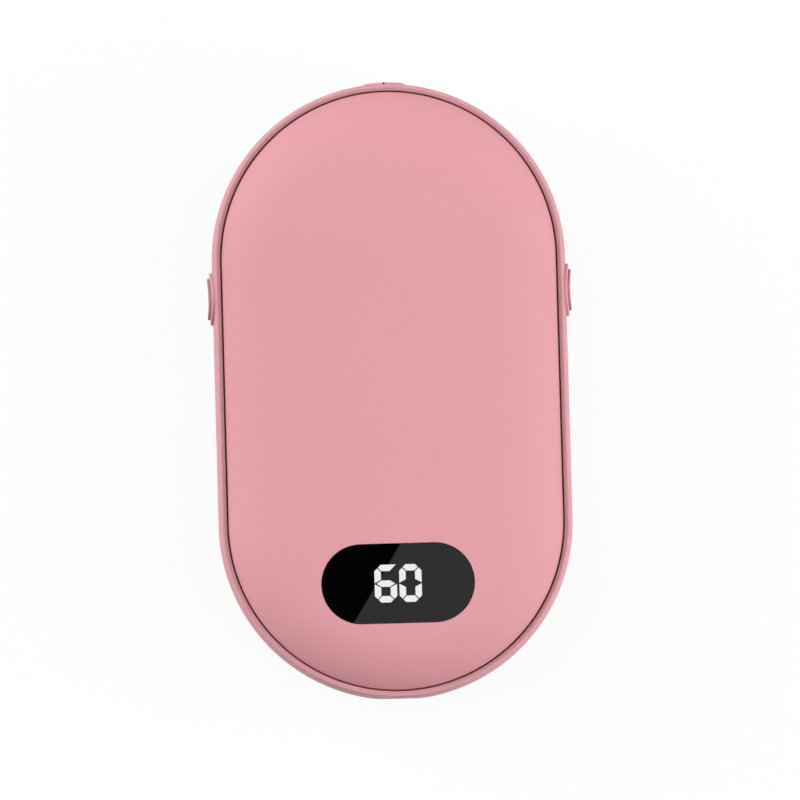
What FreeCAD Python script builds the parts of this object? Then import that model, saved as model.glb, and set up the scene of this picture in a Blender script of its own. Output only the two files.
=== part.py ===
import FreeCAD, Part
import math
import os

import Sketcher
from FreeCAD import Placement, Rotation, Vector

# Rechargeable hand warmer, lying on its back: origin at the middle of the resting face,
# +Z up through the display side, +Y along the length towards the power button, +X to the right.

driving_sizes = [
    ("body_length", 110.0, "outer length of the frame"),
    ("body_width", 63.1, "outer width of the frame, also the diameter of its round ends"),
    ("body_thickness", 26.0, "resting face to the top of the crown"),
    ("crown_radius", 128.0, "radius of the front cover's crown"),
    ("crown_reach", 20.0, "how far the crown runs out before the shoulder"),
    ("crown_inner_reach", 17.5, "flat inside of the front cover, from its axis"),
    ("rear_flat_width", 32.0, "width of the flat resting face"),
    ("front_wall", 2.9, "front cover at the top of the crown"),
    ("rear_wall", 2.2, "rear cover under the resting face"),
    ("seam_gap", 0.3, "gap between a cover and the frame's lip"),
    ("seam_depth", 0.95, "depth of that gap"),
    ("frame_height", 12.0, "bead to bead"),
    ("frame_bulge", 22.0, "radius of the frame's outer wall, seen in section"),
    ("frame_wall", 2.25, "frame wall at mid height"),
    ("rim_width", 1.57, "seam to outline, seen from above"),
    ("bead_depth", 0.45, "drop from the bead to the lip at the seam"),
    ("bead_bevel", 0.22, "bevel on the crest of the bead"),
    ("shelf_width", 2.15, "ledge that a cover sits on"),
    ("shelf_thickness", 2.0, "thickness of that ledge"),
    ("skirt_height", 0.8, "how far a cover's skirt reaches inside the ledge"),
    ("skirt_wall", 1.5, "thickness of the skirt"),
    ("skirt_clearance", 0.15, "skirt to ledge"),
    ("hook_reach", 0.8, "how far a clip catches under the ledge"),
    ("hook_clearance", 0.15, "clip to ledge"),
    ("hook_height", 1.05, "height of a clip's nose"),
    ("window_length", 26.9, "display window"),
    ("window_width", 13.9, "display window"),
    ("window_offset", 10.95, "window centre beyond the start of the round end"),
    ("window_gap", 0.12, "window to cover, all round"),
    ("window_ledge", 0.65, "thickness of the ledge under the window"),
    ("window_ledge_width", 1.8, "width of that ledge"),
    ("tape_thickness", 0.15, "adhesive under the window"),
    ("tape_width", 1.4, "width of the adhesive ring"),
    ("digit_height", 6.66, "display digit"),
    ("digit_width", 3.94, "display digit"),
    ("digit_pitch", 4.37, "digit to digit"),
    ("segment_width", 1.14, "stroke of a digit"),
    ("segment_gap", 0.09, "half the gap between two strokes"),
    ("segment_tip", 0.36, "point of the middle stroke from the digit's side"),
    ("module_length", 16.0, "display lamp block"),
    ("module_width", 9.0, "display lamp block"),
    ("module_gap", 0.2, "lamp block to window"),
    ("board_thickness", 1.6, "main board"),
    ("board_clearance", 0.8, "main board to the frame's ledge"),
    ("board_overlap", 1.0, "main board over the tray's end stop"),
    ("board_screw_inset", 2.6, "main board's screws from its edge"),
    ("usb_width", 8.94, "charging socket shell"),
    ("usb_height", 3.16, "charging socket shell"),
    ("usb_length", 7.3, "charging socket shell"),
    ("usb_wall", 0.3, "charging socket shell"),
    ("usb_setback", 0.25, "mouth of the socket behind the end flat"),
    ("usb_clearance", 0.15, "socket to frame"),
    ("tongue_width", 6.69, "contact tongue"),
    ("tongue_thickness", 0.7, "contact tongue"),
    ("tongue_length", 4.6, "contact tongue"),
    ("end_flat", 0.25, "depth of the flat round the charging port"),
    ("cut_overrun", 1.0, "how far a cut through the frame starts and ends outside it"),
    ("button_offset", 6.1, "side buttons from the start of the round end"),
    ("button_diameter", 7.4, "side button cap"),
    ("button_stand", 0.5, "cap above its collar"),
    ("button_scoop", 0.22, "finger scoop across the cap"),
    ("button_edge", 0.2, "rounding on button and collar edges"),
    ("button_clearance", 0.15, "cap to its bore"),
    ("button_travel", 0.4, "press of a button"),
    ("collar_diameter", 9.4, "collar round a side button"),
    ("collar_stand", 0.5, "collar above the frame wall"),
    ("collar_seat", 1.05, "depth of the collar's seat in the wall"),
    ("collar_sleeve", 0.35, "wall of the collar's sleeve"),
    ("collar_tail", 0.3, "sleeve past the inside of the wall"),
    ("collar_clearance", 0.05, "collar's sleeve to frame"),
    ("collar_groove", 0.28, "groove round the collar"),
    ("flange_width", 0.45, "flange that keeps a cap in"),
    ("flange_thickness", 0.5, "that flange"),
    ("flange_clearance", 0.1, "flange to its stop"),
    ("power_diameter", 7.5, "power button cap"),
    ("power_stand", 0.3, "cap beyond the frame's end"),
    ("power_crown", 0.32, "fall of the cap's domed face"),
    ("dimple_diameter", 1.0, "dimple in the power button"),
    ("dimple_depth", 0.35, "that dimple"),
    ("plunger_diameter", 3.0, "switch plunger"),
    ("plunger_reach", 1.3, "plunger in front of the switch"),
    ("plunger_hold", 0.6, "plunger inside the switch"),
    ("plunger_clearance", 0.15, "plunger to its bore and to the bore's floor"),
    ("switch_depth", 3.5, "switch body"),
    ("switch_gap", 0.2, "switch body to a screw head beside it"),
    ("switch_height", 3.2, "switch body"),
    ("switch_board_thickness", 1.0, "small board under a switch"),
    ("switch_board_width", 13.0, "small board under a switch"),
    ("switch_board_clearance", 0.4, "small board to flange and cells"),
    ("screw_edge", 1.9, "screw of a small board from its end"),
    ("screw_diameter", 1.6, "screw shank"),
    ("screw_head_diameter", 2.8, "screw head"),
    ("screw_head_height", 1.0, "screw head"),
    ("screw_grip", 0.8, "shank inside the post"),
    ("screw_clearance", 0.05, "shank to its hole"),
    ("post_diameter", 4.4, "screw post in the frame"),
    ("post_root", 0.3, "rib of a post inside the frame's wall"),
    ("post_lift", 0.2, "post above the rear cover's skirt"),
    ("display_bay", 4.9, "display lamp block to the cells"),
    ("side_bay", 13.0, "least room between the cells and the frame's outer face"),
    ("cell_gap", 0.2, "between the two cells"),
    ("cell_clearance", 0.05, "cells to tray and films"),
    ("cell_edge", 0.6, "rounding at a cell's end"),
    ("cap_diameter", 6.0, "positive cap of a cell"),
    ("cap_height", 0.8, "positive cap of a cell"),
    ("tray_floor", 0.65, "spine of the tray under the cells"),
    ("tray_spine_width", 10.0, "spine of the tray"),
    ("tray_stop", 1.7, "end stop of the tray"),
    ("tray_stop_height", 9.0, "end stop at the power button end"),
    ("tray_gap", 0.1, "end stop to the nickel strip"),
    ("saddle_width", 4.4, "saddle of the tray, along the cells"),
    ("saddle_wall", 0.95, "saddle outside a cell"),
    ("saddle_crest", 5.0, "saddle between the cells"),
    ("ear_thickness", 1.2, "screw ear of the tray"),
    ("ear_gap", 0.4, "ear to the frame's wall"),
    ("post_inset", 2.7, "tray post centre from the frame's wall"),
    ("link_thickness", 0.2, "nickel strip"),
    ("link_width", 6.0, "nickel strip"),
    ("link_length", 26.0, "nickel strip"),
    ("plate_thickness", 0.6, "heat plate"),
    ("plate_margin", 0.5, "heat plate inside the edge of the resting face"),
    ("plate_setback", 1.46, "heat plate behind the cells' end at the display"),
    ("film_thickness", 0.25, "heating film"),
    ("film_margin", 1.0, "heating film inside the plate's edge"),
    ("tail_width", 6.0, "tail of a heating film"),
    ("tail_offset", 9.0, "tail from the middle"),
    ("tail_landing", 2.0, "tail past the edge of the main board"),
    ("lead_diameter", 1.6, "battery lead"),
    ("lead_standoff", 2.8, "lead away from a nickel strip"),
    ("lead_height", 6.4, "negative lead above the cells' middle"),
    ("lead_drop", 1.5, "leads below and above the cells' middle at the strips"),
    ("thermistor_diameter", 1.5, "temperature bead"),
    ("thermistor_length", 4.0, "temperature bead"),
    ("thermistor_offset", 4.3, "temperature bead from the middle of the heat plate"),
    ("fuse_diameter", 2.2, "thermal fuse"),
    ("fuse_length", 6.5, "thermal fuse"),
    ("fuse_lead_diameter", 0.8, "thermal fuse's own wires"),
    ("fuse_lead_length", 1.6, "thermal fuse's own wires"),
    ("control_chip_side", 5.0, "control chip"),
    ("control_chip_height", 0.9, "control chip"),
    ("control_chip_inset", 5.5, "control chip from the edge of the main board at the cells"),
    ("charge_chip_length", 4.9, "charging chip"),
    ("charge_chip_width", 3.9, "charging chip"),
    ("charge_chip_height", 1.5, "charging chip"),
    ("inductor_side", 6.0, "step-up inductor"),
    ("inductor_height", 4.0, "step-up inductor"),
    ("chip_inset", 12.0, "chips from the edge of the main board at the cells"),
]

doc = FreeCAD.newDocument("hand_warmer")
sheet = doc.addObject("Spreadsheet::Sheet", "Sizes")
for row, (alias, number, note) in enumerate(driving_sizes, start=1):
    sheet.set(f"A{row}", note)
    sheet.set(f"B{row}", str(number))
    sheet.setAlias(f"B{row}", alias)
doc.recompute()


class Size:
    # A length that knows both its number and the formula that ties it to the sheet.
    def __init__(self, number, formula):
        self.number = number
        self.formula = formula

    def __add__(self, other):
        other = as_size(other)
        return Size(self.number + other.number, f"({self.formula} + {other.formula})")

    def __sub__(self, other):
        other = as_size(other)
        return Size(self.number - other.number, f"({self.formula} - {other.formula})")

    def __mul__(self, other):
        other = as_size(other)
        return Size(self.number * other.number, f"({self.formula} * {other.formula})")

    def __truediv__(self, other):
        other = as_size(other)
        return Size(self.number / other.number, f"({self.formula} / {other.formula})")

    def __neg__(self):
        return Size(-self.number, f"(0 - {self.formula})")


def as_size(item):
    if isinstance(item, Size):
        return item
    return Size(float(item), f"({float(item)})")


def smaller(first, second):
    return Size(min(first.number, second.number), f"min({first.formula}; {second.formula})")


def root(size):
    return Size(math.sqrt(size.number), f"sqrt({size.formula})")


def size(alias):
    return Size(float(sheet.get(alias)), f"Sizes.{alias}")


def tangent_radius(across, along):
    # Radius of an arc that leaves level and ends after this run and this drop.
    return (across * across + along * along) / (along * 2)


sub_parts = {}
screw_places = []
tray_screw_places = []
zero = as_size(0)

# An arc whose chord is over this share of its radius is held by its centre, because two pinned
# ends would leave its side open. A bend in a wire takes up its share of the shorter run beside it.

wide_share = 1.9
bend_share = 0.45

# An edge lies on a cylinder when this many spots along it are within this distance of it

edge_spots = 5
touch = 1e-4


def name_part(item, label):
    item.Label = label
    sub_parts[label] = item
    return item


def bind(item, path, length):
    item.setExpression(path, as_size(length).formula)


def place(item, x, y, z, rotation=None):
    corner = [as_size(x), as_size(y), as_size(z)]
    item.Placement = Placement(Vector(*[length.number for length in corner]), rotation or Rotation())
    for axis, length in zip("xyz", corner):
        bind(item, f"Placement.Base.{axis}", length)
    return item


def new_body(label):
    return name_part(doc.addObject("PartDesign::Body", label), label)


def origin_plane(body, role):
    return [plane for plane in body.Origin.OriginFeatures if plane.Role == role][0]


def new_sketch(body, role, offset=(0, 0, 0), turn=0):
    # The offset is along the plane's own two axes and its normal.
    sketch = body.newObject("Sketcher::SketchObject", body.Name + "_outline")
    sketch.AttachmentSupport = [(origin_plane(body, role), "")]
    sketch.MapMode = "FlatFace"
    corner = [as_size(length) for length in offset]
    sketch.AttachmentOffset = Placement(
        Vector(*[length.number for length in corner]), Rotation(Vector(0, 0, 1), turn)
    )
    for axis, length in zip("xyz", corner):
        bind(sketch, f"AttachmentOffset.Base.{axis}", length)
    return sketch


def pin_point(sketch, geometry, point, x=None, y=None):
    # Holds one coordinate, or both, of a point at a size from the sketch's origin.
    for kind, axis_line, length in (("DistanceX", -2, x), ("DistanceY", -1, y)):
        if length is None:
            continue
        length = as_size(length)
        if abs(length.number) < 1e-9:
            sketch.addConstraint(Sketcher.Constraint("PointOnObject", geometry, point, axis_line))
            continue
        number = sketch.addConstraint(
            Sketcher.Constraint(kind, -1, 1, geometry, point, length.number)
        )
        bind(sketch, f"Constraints[{number}]", length)


def pin_radius(sketch, geometry, radius):
    number = sketch.addConstraint(Sketcher.Constraint("Radius", geometry, radius.number))
    bind(sketch, f"Constraints[{number}]", radius)


def draw(sketch, corners, arcs=None):
    # Closed outline through the corners. arcs gives, for an edge, its centre, radius and
    # turn: 1 for anticlockwise, -1 for clockwise.
    arcs = arcs or {}
    corners = [(as_size(x), as_size(y)) for x, y in corners]
    spots = [Vector(x.number, y.number, 0) for x, y in corners]
    count = len(corners)
    ends = []
    wide_arcs = []
    for edge in range(count):
        start = spots[edge]
        end = spots[(edge + 1) % count]
        if edge not in arcs:
            geometry = sketch.addGeometry(Part.LineSegment(start, end))
            ends.append((geometry, 1, 2))
            continue
        centre_x, centre_y, radius, turn = arcs[edge]
        centre = Vector(as_size(centre_x).number, as_size(centre_y).number, 0)
        first, last = (start, end) if turn > 0 else (end, start)
        angles = [math.atan2(spot.y - centre.y, spot.x - centre.x) for spot in (first, last)]
        if angles[1] <= angles[0]:
            angles[1] += 2 * math.pi
        circle = Part.Circle(centre, Vector(0, 0, 1), radius.number)
        geometry = sketch.addGeometry(Part.ArcOfCircle(circle, angles[0], angles[1]))
        ends.append((geometry, 1, 2) if turn > 0 else (geometry, 2, 1))
        pin_radius(sketch, geometry, radius)
        if start.distanceToPoint(end) > wide_share * radius.number:
            pin_point(sketch, geometry, 3, centre_x, centre_y)
            wide_arcs.append(edge)
    for edge in range(count):
        following = (edge + 1) % count
        sketch.addConstraint(
            Sketcher.Constraint(
                "Coincident", ends[edge][0], ends[edge][2], ends[following][0], ends[following][1]
            )
        )
    for edge, (x, y) in enumerate(corners):
        wide = [arc for arc in (edge, (edge - 1) % count) if arc in wide_arcs]
        if not wide:
            pin_point(sketch, ends[edge][0], ends[edge][1], x, y)
            continue
        centre_x, centre_y = arcs[wide[0]][:2]
        rise = abs(y.number - as_size(centre_y).number)
        run = abs(x.number - as_size(centre_x).number)
        if rise >= run:
            pin_point(sketch, ends[edge][0], ends[edge][1], x=x)
        else:
            pin_point(sketch, ends[edge][0], ends[edge][1], y=y)
    return sketch


def draw_slot(sketch, length, width):
    # Straight-sided outline with round ends, centred on the sketch's origin.
    half = (length - width) / 2
    radius = width / 2
    corners = [(-half, -radius), (half, -radius), (half, radius), (-half, radius)]
    return draw(sketch, corners, {1: (half, 0, radius, 1), 3: (-half, 0, radius, 1)})


def draw_block(sketch, low_x, low_y, high_x, high_y):
    return draw(sketch, [(low_x, low_y), (high_x, low_y), (high_x, high_y), (low_x, high_y)])


def draw_circle(sketch, diameter, x=0, y=0):
    radius = diameter / 2
    centre = Vector(as_size(x).number, as_size(y).number, 0)
    geometry = sketch.addGeometry(Part.Circle(centre, Vector(0, 0, 1), radius.number))
    pin_radius(sketch, geometry, radius)
    pin_point(sketch, geometry, 3, x, y)
    return sketch


def pad(body, sketch, length, backward=False):
    feature = body.newObject("PartDesign::Pad", body.Name + "_pad")
    feature.Profile = sketch
    feature.Reversed = backward
    bind(feature, "Length", length)
    return feature


def pocket(body, sketch, length, along_normal=False):
    # Cuts against the sketch's normal, or along it, and makes sure that it cut something.
    doc.recompute()
    before = body.Shape.Volume
    feature = body.newObject("PartDesign::Pocket", body.Name + "_pocket")
    feature.Profile = sketch
    feature.Reversed = along_normal
    bind(feature, "Length", length)
    doc.recompute()
    if body.Shape.Volume > before - 1e-6:
        raise RuntimeError(f"a pocket in {body.Label} cuts nothing")
    return feature


def revolve(body, sketch, axis, angle=360):
    feature = body.newObject("PartDesign::Revolution", body.Name + "_turn")
    feature.Profile = sketch
    feature.ReferenceAxis = (sketch, [axis])
    feature.Angle = angle
    return feature


def hollow(body, sketch, axis):
    feature = body.newObject("PartDesign::Groove", body.Name + "_hollow")
    feature.Profile = sketch
    feature.ReferenceAxis = (sketch, [axis])
    return feature


def soften(body, reach, start, radius):
    # Rounds the edges that run at this reach from the body's X axis and lie beyond the start.
    doc.recompute()
    base = body.Tip
    names = []
    for number, edge in enumerate(body.Shape.Edges, start=1):
        if edge.Degenerated:
            continue
        spots = edge.discretize(edge_spots)
        on_side = all(abs(math.hypot(spot.y, spot.z) - reach.number) < touch for spot in spots)
        if on_side and min(spot.x for spot in spots) > start.number + touch:
            names.append(f"Edge{number}")
    feature = body.newObject("PartDesign::Fillet", body.Name + "_edge")
    feature.Base = (base, names)
    bind(feature, "Radius", radius)
    return feature


def mirror(body, features, role):
    doc.recompute()
    copy = body.newObject("PartDesign::Mirrored", body.Name + "_mirror")
    copy.Originals = features
    copy.MirrorPlane = (origin_plane(body, role), [""])
    body.Tip = copy
    return copy


def stadium(body, corners, arcs):
    # Sweeps a half section round the oblong plan: one round end, the straight side, and mirrors.
    sketch = new_sketch(body, "XZ_Plane", (0, 0, -arc_centre))
    draw(sketch, corners, arcs)
    round_end = revolve(body, sketch, "V_Axis", 180)
    straight_side = pad(body, sketch, arc_centre * 2)
    mirror(body, [straight_side], "YZ_Plane")
    mirror(body, [round_end], "XZ_Plane")
    doc.recompute()
    return body


def block(label, low, high):
    # Rectangular piece between two corners.
    solid = name_part(doc.addObject("Part::Box", label), label)
    for side, start, end in zip(("Length", "Width", "Height"), low, high):
        bind(solid, side, as_size(end) - start)
    return place(solid, *low)


def round_post(body, x, y, z, turn, reach, height):
    # Screw post with its rib to the frame's wall, which lies along the turned X axis.
    sketch = new_sketch(body, "XY_Plane", (x, y, z), turn)
    half = size("post_diameter") / 2
    corners = [(0, -half), (reach, -half), (reach, half), (0, half)]
    draw(sketch, corners, {3: (0, 0, half, 1)})
    draw_circle(sketch, hole_diameter)
    return pad(body, sketch, height)


# Main levels and radii of the housing, measured from the axis of a round end

half_length = size("body_length") / 2
half_width = size("body_width") / 2
arc_centre = half_length - half_width
thickness = size("body_thickness")
mid = thickness / 2

half_frame = size("frame_height") / 2
bulge = size("frame_bulge")
bead_radius = half_width - bulge + root(bulge * bulge - half_frame * half_frame)
lip_radius = half_width - size("rim_width")
lip_rise = half_frame - size("bead_depth")
shelf_rise = lip_rise - size("seam_depth")
shelf_under = shelf_rise - size("shelf_thickness")
shelf_radius = lip_radius - size("shelf_width")
wall_radius = half_width - size("frame_wall")
edge_radius = lip_radius - size("seam_gap")
skirt_outer = shelf_radius - size("skirt_clearance")
skirt_inner = skirt_outer - size("skirt_wall")
inner_top = thickness - size("front_wall")
inner_bottom = size("rear_wall")

# Proportions, which are not lengths: how far the cells run into the round end, how wide a clip
# is for its pitch, and how far out the chips sit for the screws of their board

cell_share = 0.5246
hook_share = 0.6
chip_share = 0.546

# Stack between the covers: plate, film, cells, tray spine, film, plate

front_film_low = inner_top - size("plate_thickness") - size("film_thickness")
rear_film_high = inner_bottom + size("plate_thickness") + size("film_thickness")
tray_low = rear_film_high + size("cell_clearance")
cell_floor = tray_low + size("tray_floor") + size("cell_clearance")
cell_roof = front_film_low - size("cell_clearance")
cell_middle = (cell_floor + cell_roof) / 2
cell_diameter = smaller(cell_roof - cell_floor, half_width - size("side_bay") - size("cell_gap") / 2)
cell_radius = cell_diameter / 2
cell_x = (cell_diameter + size("cell_gap")) / 2
window_y = -(arc_centre + size("window_offset"))
cell_start = window_y + size("module_width") / 2 + size("display_bay")
cell_end = arc_centre + half_width * cell_share

plate_width = size("rear_flat_width") - size("plate_margin") * 2
plate_start = cell_start + size("plate_setback")
plate_end = arc_centre + plate_width / 2
plate_length = plate_end - plate_start
plate_middle = (plate_start + plate_end) / 2

# Screws and the posts that take them

hole_diameter = size("screw_diameter") + size("screw_clearance") * 2
post_low = mid - shelf_rise + size("skirt_height") + size("post_lift")
ear_low = cell_middle - size("ear_thickness")
tray_post_x = wall_radius - size("post_inset")
switch_board_high = mid - size("switch_height") / 2
switch_board_low = switch_board_high - size("switch_board_thickness")
screw_spread = size("switch_board_width") - size("screw_edge") * 2
switch_width = screw_spread - size("screw_head_diameter") - size("switch_gap") * 2
board_low = mid + size("usb_height") / 2
board_high = board_low + size("board_thickness")
board_radius = shelf_radius - size("board_clearance")
stop_start = cell_start - size("link_thickness") - size("tray_gap") - size("tray_stop")
stop_end = cell_end + size("link_thickness") + size("tray_gap") + size("tray_stop")
board_edge = stop_start + size("board_overlap")
board_post_x = (board_radius - size("board_screw_inset")) / math.sqrt(2)
board_post_y = -arc_centre - board_post_x


# Buttons work along their own X axis, which points out of the frame from the wall's outer face

sleeve_end = -(size("frame_wall") + size("collar_tail"))
side_flange = sleeve_end - size("flange_clearance")
power_flange = -(size("frame_wall") + size("flange_clearance"))
button_y = arc_centre - size("button_offset")
bore_diameter = size("button_diameter") + size("button_clearance") * 2
sleeve_diameter = bore_diameter + size("collar_sleeve") * 2
power_flange_diameter = size("power_diameter") + size("flange_width") * 2

# Two saddles and two pairs of clips take turns between the cells' end and the switch boards

station_gaps = 5
station_pitch = (button_y - size("switch_board_width") / 2 - cell_start) / station_gaps
saddle_stations = (cell_start + station_pitch, cell_start + station_pitch * 3)
hook_stations = (cell_start + station_pitch * 2, cell_start + station_pitch * 4)
hook_width = station_pitch * hook_share


def button_depths(flange_front):
    # Depths behind the wall's outer face, going inwards from the cap's flange.
    back = flange_front - size("flange_thickness")
    board_front = back - size("button_travel") - size("switch_board_clearance")
    switch_front = back - size("plunger_reach")
    screw_x = switch_front - size("switch_depth") / 2
    return back, board_front, switch_front, screw_x


def build_middle_frame():
    # Bulged ring with a bead beside each seam and a ledge for each cover.
    frame = new_body("middle_frame")
    bead_bevel = size("bead_bevel")
    bevel_rise = half_frame - bead_bevel
    bevel_radius = half_width - bulge + root(bulge * bulge - bevel_rise * bevel_rise)
    crest_radius = bead_radius - bead_bevel
    crest_rise = half_frame - size("bead_depth") * bead_bevel / (bead_radius - lip_radius)
    section = [
        (bevel_radius, mid - bevel_rise),
        (bevel_radius, mid + bevel_rise),
        (crest_radius, mid + crest_rise),
        (lip_radius, mid + lip_rise),
        (lip_radius, mid + shelf_rise),
        (shelf_radius, mid + shelf_rise),
        (shelf_radius, mid + shelf_under),
        (wall_radius, mid + shelf_under),
        (wall_radius, mid - shelf_under),
        (shelf_radius, mid - shelf_under),
        (shelf_radius, mid - shelf_rise),
        (lip_radius, mid - shelf_rise),
        (lip_radius, mid - lip_rise),
        (crest_radius, mid - crest_rise),
    ]
    stadium(frame, section, {0: (half_width - bulge, mid, bulge, 1)})

    posts = []
    side_screw = half_width + button_depths(side_flange)[3]
    side_reach = wall_radius + size("post_root") - side_screw
    tray_reach = size("post_inset") + size("post_root")
    half_spread = screw_spread / 2
    low_rise = switch_board_low - post_low
    for y in (button_y - half_spread, button_y + half_spread):
        posts.append(round_post(frame, side_screw, y, post_low, 0, side_reach, low_rise))
    for y in saddle_stations:
        posts.append(round_post(frame, tray_post_x, y, post_low, 0, tray_reach, ear_low - post_low))
    power_screw = half_length + button_depths(power_flange)[3]
    power_reach = half_length - size("frame_wall") + size("post_root") - power_screw
    posts.append(round_post(frame, half_spread, power_screw, post_low, 90, power_reach, low_rise))
    board_reach = wall_radius + size("post_root") - board_post_x * math.sqrt(2)
    posts.append(
        round_post(
            frame, board_post_x, board_post_y, post_low, -45, board_reach, board_low - post_low
        )
    )
    mirror(frame, posts, "YZ_Plane")

    outside = size("cut_overrun")
    wall_cut = half_width - shelf_radius + outside * 2
    hole = new_sketch(frame, "YZ_Plane", (button_y, mid, half_width + outside))
    draw_circle(hole, sleeve_diameter + size("collar_clearance") * 2)
    through = pocket(frame, hole, wall_cut)
    seat = new_sketch(frame, "YZ_Plane", (button_y, mid, half_width + outside))
    draw_circle(seat, size("collar_diameter") + size("collar_groove") * 2)
    counterbore = pocket(frame, seat, size("collar_seat") + outside)
    mirror(frame, [through, counterbore], "YZ_Plane")

    power_hole = new_sketch(frame, "XZ_Plane", (0, mid, -(half_length + outside)))
    draw_circle(power_hole, size("power_diameter") + size("button_clearance") * 2)
    pocket(frame, power_hole, wall_cut, along_normal=True)
    flange_room = new_sketch(frame, "XZ_Plane", (0, mid, size("frame_wall") - half_length))
    draw_circle(flange_room, power_flange_diameter + size("button_clearance") * 2)
    pocket(frame, flange_room, wall_radius - shelf_radius + outside, along_normal=True)

    flat = new_sketch(frame, "XZ_Plane", (0, mid, half_length - size("end_flat")))
    draw_block(flat, -half_frame, -half_frame, half_frame, half_frame)
    pocket(frame, flat, outside, along_normal=True)
    port = new_sketch(frame, "XZ_Plane", (0, mid, half_length + outside))
    spare = size("usb_clearance") * 2
    draw_slot(port, size("usb_width") + spare, size("usb_height") + spare)
    pocket(frame, port, wall_cut)
    return frame


def add_hooks(cover, direction):
    # Four clips on the skirt that catch behind the frame's ledge.
    catch = mid + (shelf_under - size("hook_clearance")) * direction
    tip = catch - size("hook_height") * direction
    ramp = tip + size("hook_reach") * direction
    root_level = mid + (shelf_rise - size("skirt_height") / 2) * direction
    outline = [
        (skirt_inner, root_level),
        (skirt_inner, tip),
        (skirt_outer, tip),
        (skirt_outer + size("hook_reach"), ramp),
        (skirt_outer + size("hook_reach"), catch),
        (skirt_outer, catch),
        (skirt_outer, root_level),
    ]
    hooks = []
    for y in hook_stations:
        sketch = new_sketch(cover, "XZ_Plane", (0, 0, -(y + hook_width / 2)))
        draw(sketch, outline)
        hooks.append(pad(cover, sketch, hook_width))
    mirror(cover, hooks, "YZ_Plane")


def build_front_cover():
    # Crowned shell: a wide crown that runs into a tighter shoulder at the seam.
    cover = new_body("front_cover")
    crown = size("crown_radius")
    reach = size("crown_reach")
    crown_centre = thickness - crown
    fall = root(crown * crown - reach * reach)
    turn_z = crown_centre + fall
    edge_z = mid + lip_rise
    step_x = reach - edge_radius
    step_z = turn_z - edge_z
    shoulder = (step_x * step_x + step_z * step_z) * crown / ((step_x * reach + step_z * fall) * 2)
    shoulder_x = reach - shoulder * reach / crown
    shoulder_z = turn_z - shoulder * fall / crown
    seat_z = mid + shelf_rise
    inner_reach = size("crown_inner_reach")
    inner_shoulder = tangent_radius(skirt_inner - inner_reach, inner_top - seat_z)
    skirt_z = seat_z - size("skirt_height")
    section = [
        (0, inner_top),
        (inner_reach, inner_top),
        (skirt_inner, seat_z),
        (skirt_inner, skirt_z),
        (skirt_outer, skirt_z),
        (skirt_outer, seat_z),
        (edge_radius, seat_z),
        (edge_radius, edge_z),
        (reach, turn_z),
        (0, thickness),
    ]
    arcs = {
        1: (inner_reach, inner_top - inner_shoulder, inner_shoulder, -1),
        7: (shoulder_x, shoulder_z, shoulder, 1),
        8: (zero, crown_centre, crown, 1),
    }
    stadium(cover, section, arcs)
    add_hooks(cover, 1)

    recess = new_sketch(cover, "XY_Plane", (0, window_y, window_seat))
    spare = size("window_gap") * 2
    draw_slot(recess, size("window_length") + spare, size("window_width") + spare)
    pocket(cover, recess, size("front_wall"), along_normal=True)
    opening = new_sketch(cover, "XY_Plane", (0, window_y, window_seat))
    draw_slot(opening, window_opening_length, window_opening_width)
    pocket(cover, opening, size("front_wall"))
    return cover


def build_rear_cover():
    # Shell with a flat resting face and one rounded shoulder up to the seam.
    cover = new_body("rear_cover")
    flat = size("rear_flat_width") / 2
    edge_z = mid - lip_rise
    seat_z = mid - shelf_rise
    skirt_z = seat_z + size("skirt_height")
    shoulder = tangent_radius(edge_radius - flat, edge_z)
    inner_shoulder = tangent_radius(skirt_inner - flat, seat_z - inner_bottom)
    section = [
        (0, 0),
        (flat, 0),
        (edge_radius, edge_z),
        (edge_radius, seat_z),
        (skirt_outer, seat_z),
        (skirt_outer, skirt_z),
        (skirt_inner, skirt_z),
        (skirt_inner, seat_z),
        (flat, inner_bottom),
        (0, inner_bottom),
    ]
    arcs = {
        1: (flat, shoulder, shoulder, 1),
        7: (flat, inner_bottom + inner_shoulder, inner_shoulder, -1),
    }
    stadium(cover, section, arcs)
    add_hooks(cover, -1)
    return cover


# Display window, in its seat in the crown over the charging end

window_seat = inner_top + size("window_ledge")
window_low = window_seat + size("tape_thickness")
window_opening_length = size("window_length") - size("window_ledge_width") * 2
window_opening_width = size("window_width") - size("window_ledge_width") * 2

digit_strokes = {"6": "acdefg", "0": "abcdef"}


def stroke_outline(digit, stroke):
    # One mitred stroke of a seven-stroke digit, about the digit's middle. The digit's corners are
    # cut off, except where the 6 ends in a full point.
    w = size("digit_width").number / 2
    h = size("digit_height").number / 2
    t = size("segment_width").number
    gap = size("segment_gap").number
    side = gap / math.sqrt(2)
    across = gap * math.sqrt(2)
    tip = size("segment_tip").number
    corner_end = [(w - t - across, h - t), (w - t / 2 - side, h - t / 2 + side), (w - t, h)]
    point_end = [(w - t - across, h - t), (w - across, h)]
    left_end = [(-x, y) for x, y in reversed(corner_end)]
    top = left_end + (point_end if (digit, stroke) == ("6", "a") else corner_end)
    upper_left = [
        (-w, h - t),
        (-w + t / 2 - side, h - t / 2 - side),
        (-w + t, h - t - across),
        (-w + t, t / 2 + across),
        (-w, gap),
    ]
    middle = [
        (-w + tip, 0),
        (-w + t + gap, t / 2),
        (w - t - gap, t / 2),
        (w - tip, 0),
        (w - t - gap, -t / 2),
        (-w + t + gap, -t / 2),
    ]
    shapes = {
        "a": (top, 1, 1),
        "d": (top, 1, -1),
        "f": (upper_left, 1, 1),
        "b": (upper_left, -1, 1),
        "e": (upper_left, 1, -1),
        "c": (upper_left, -1, -1),
        "g": (middle, 1, 1),
    }
    outline, flip_x, flip_y = shapes[stroke]
    return [(x * flip_x, y * flip_y) for x, y in outline]


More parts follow.
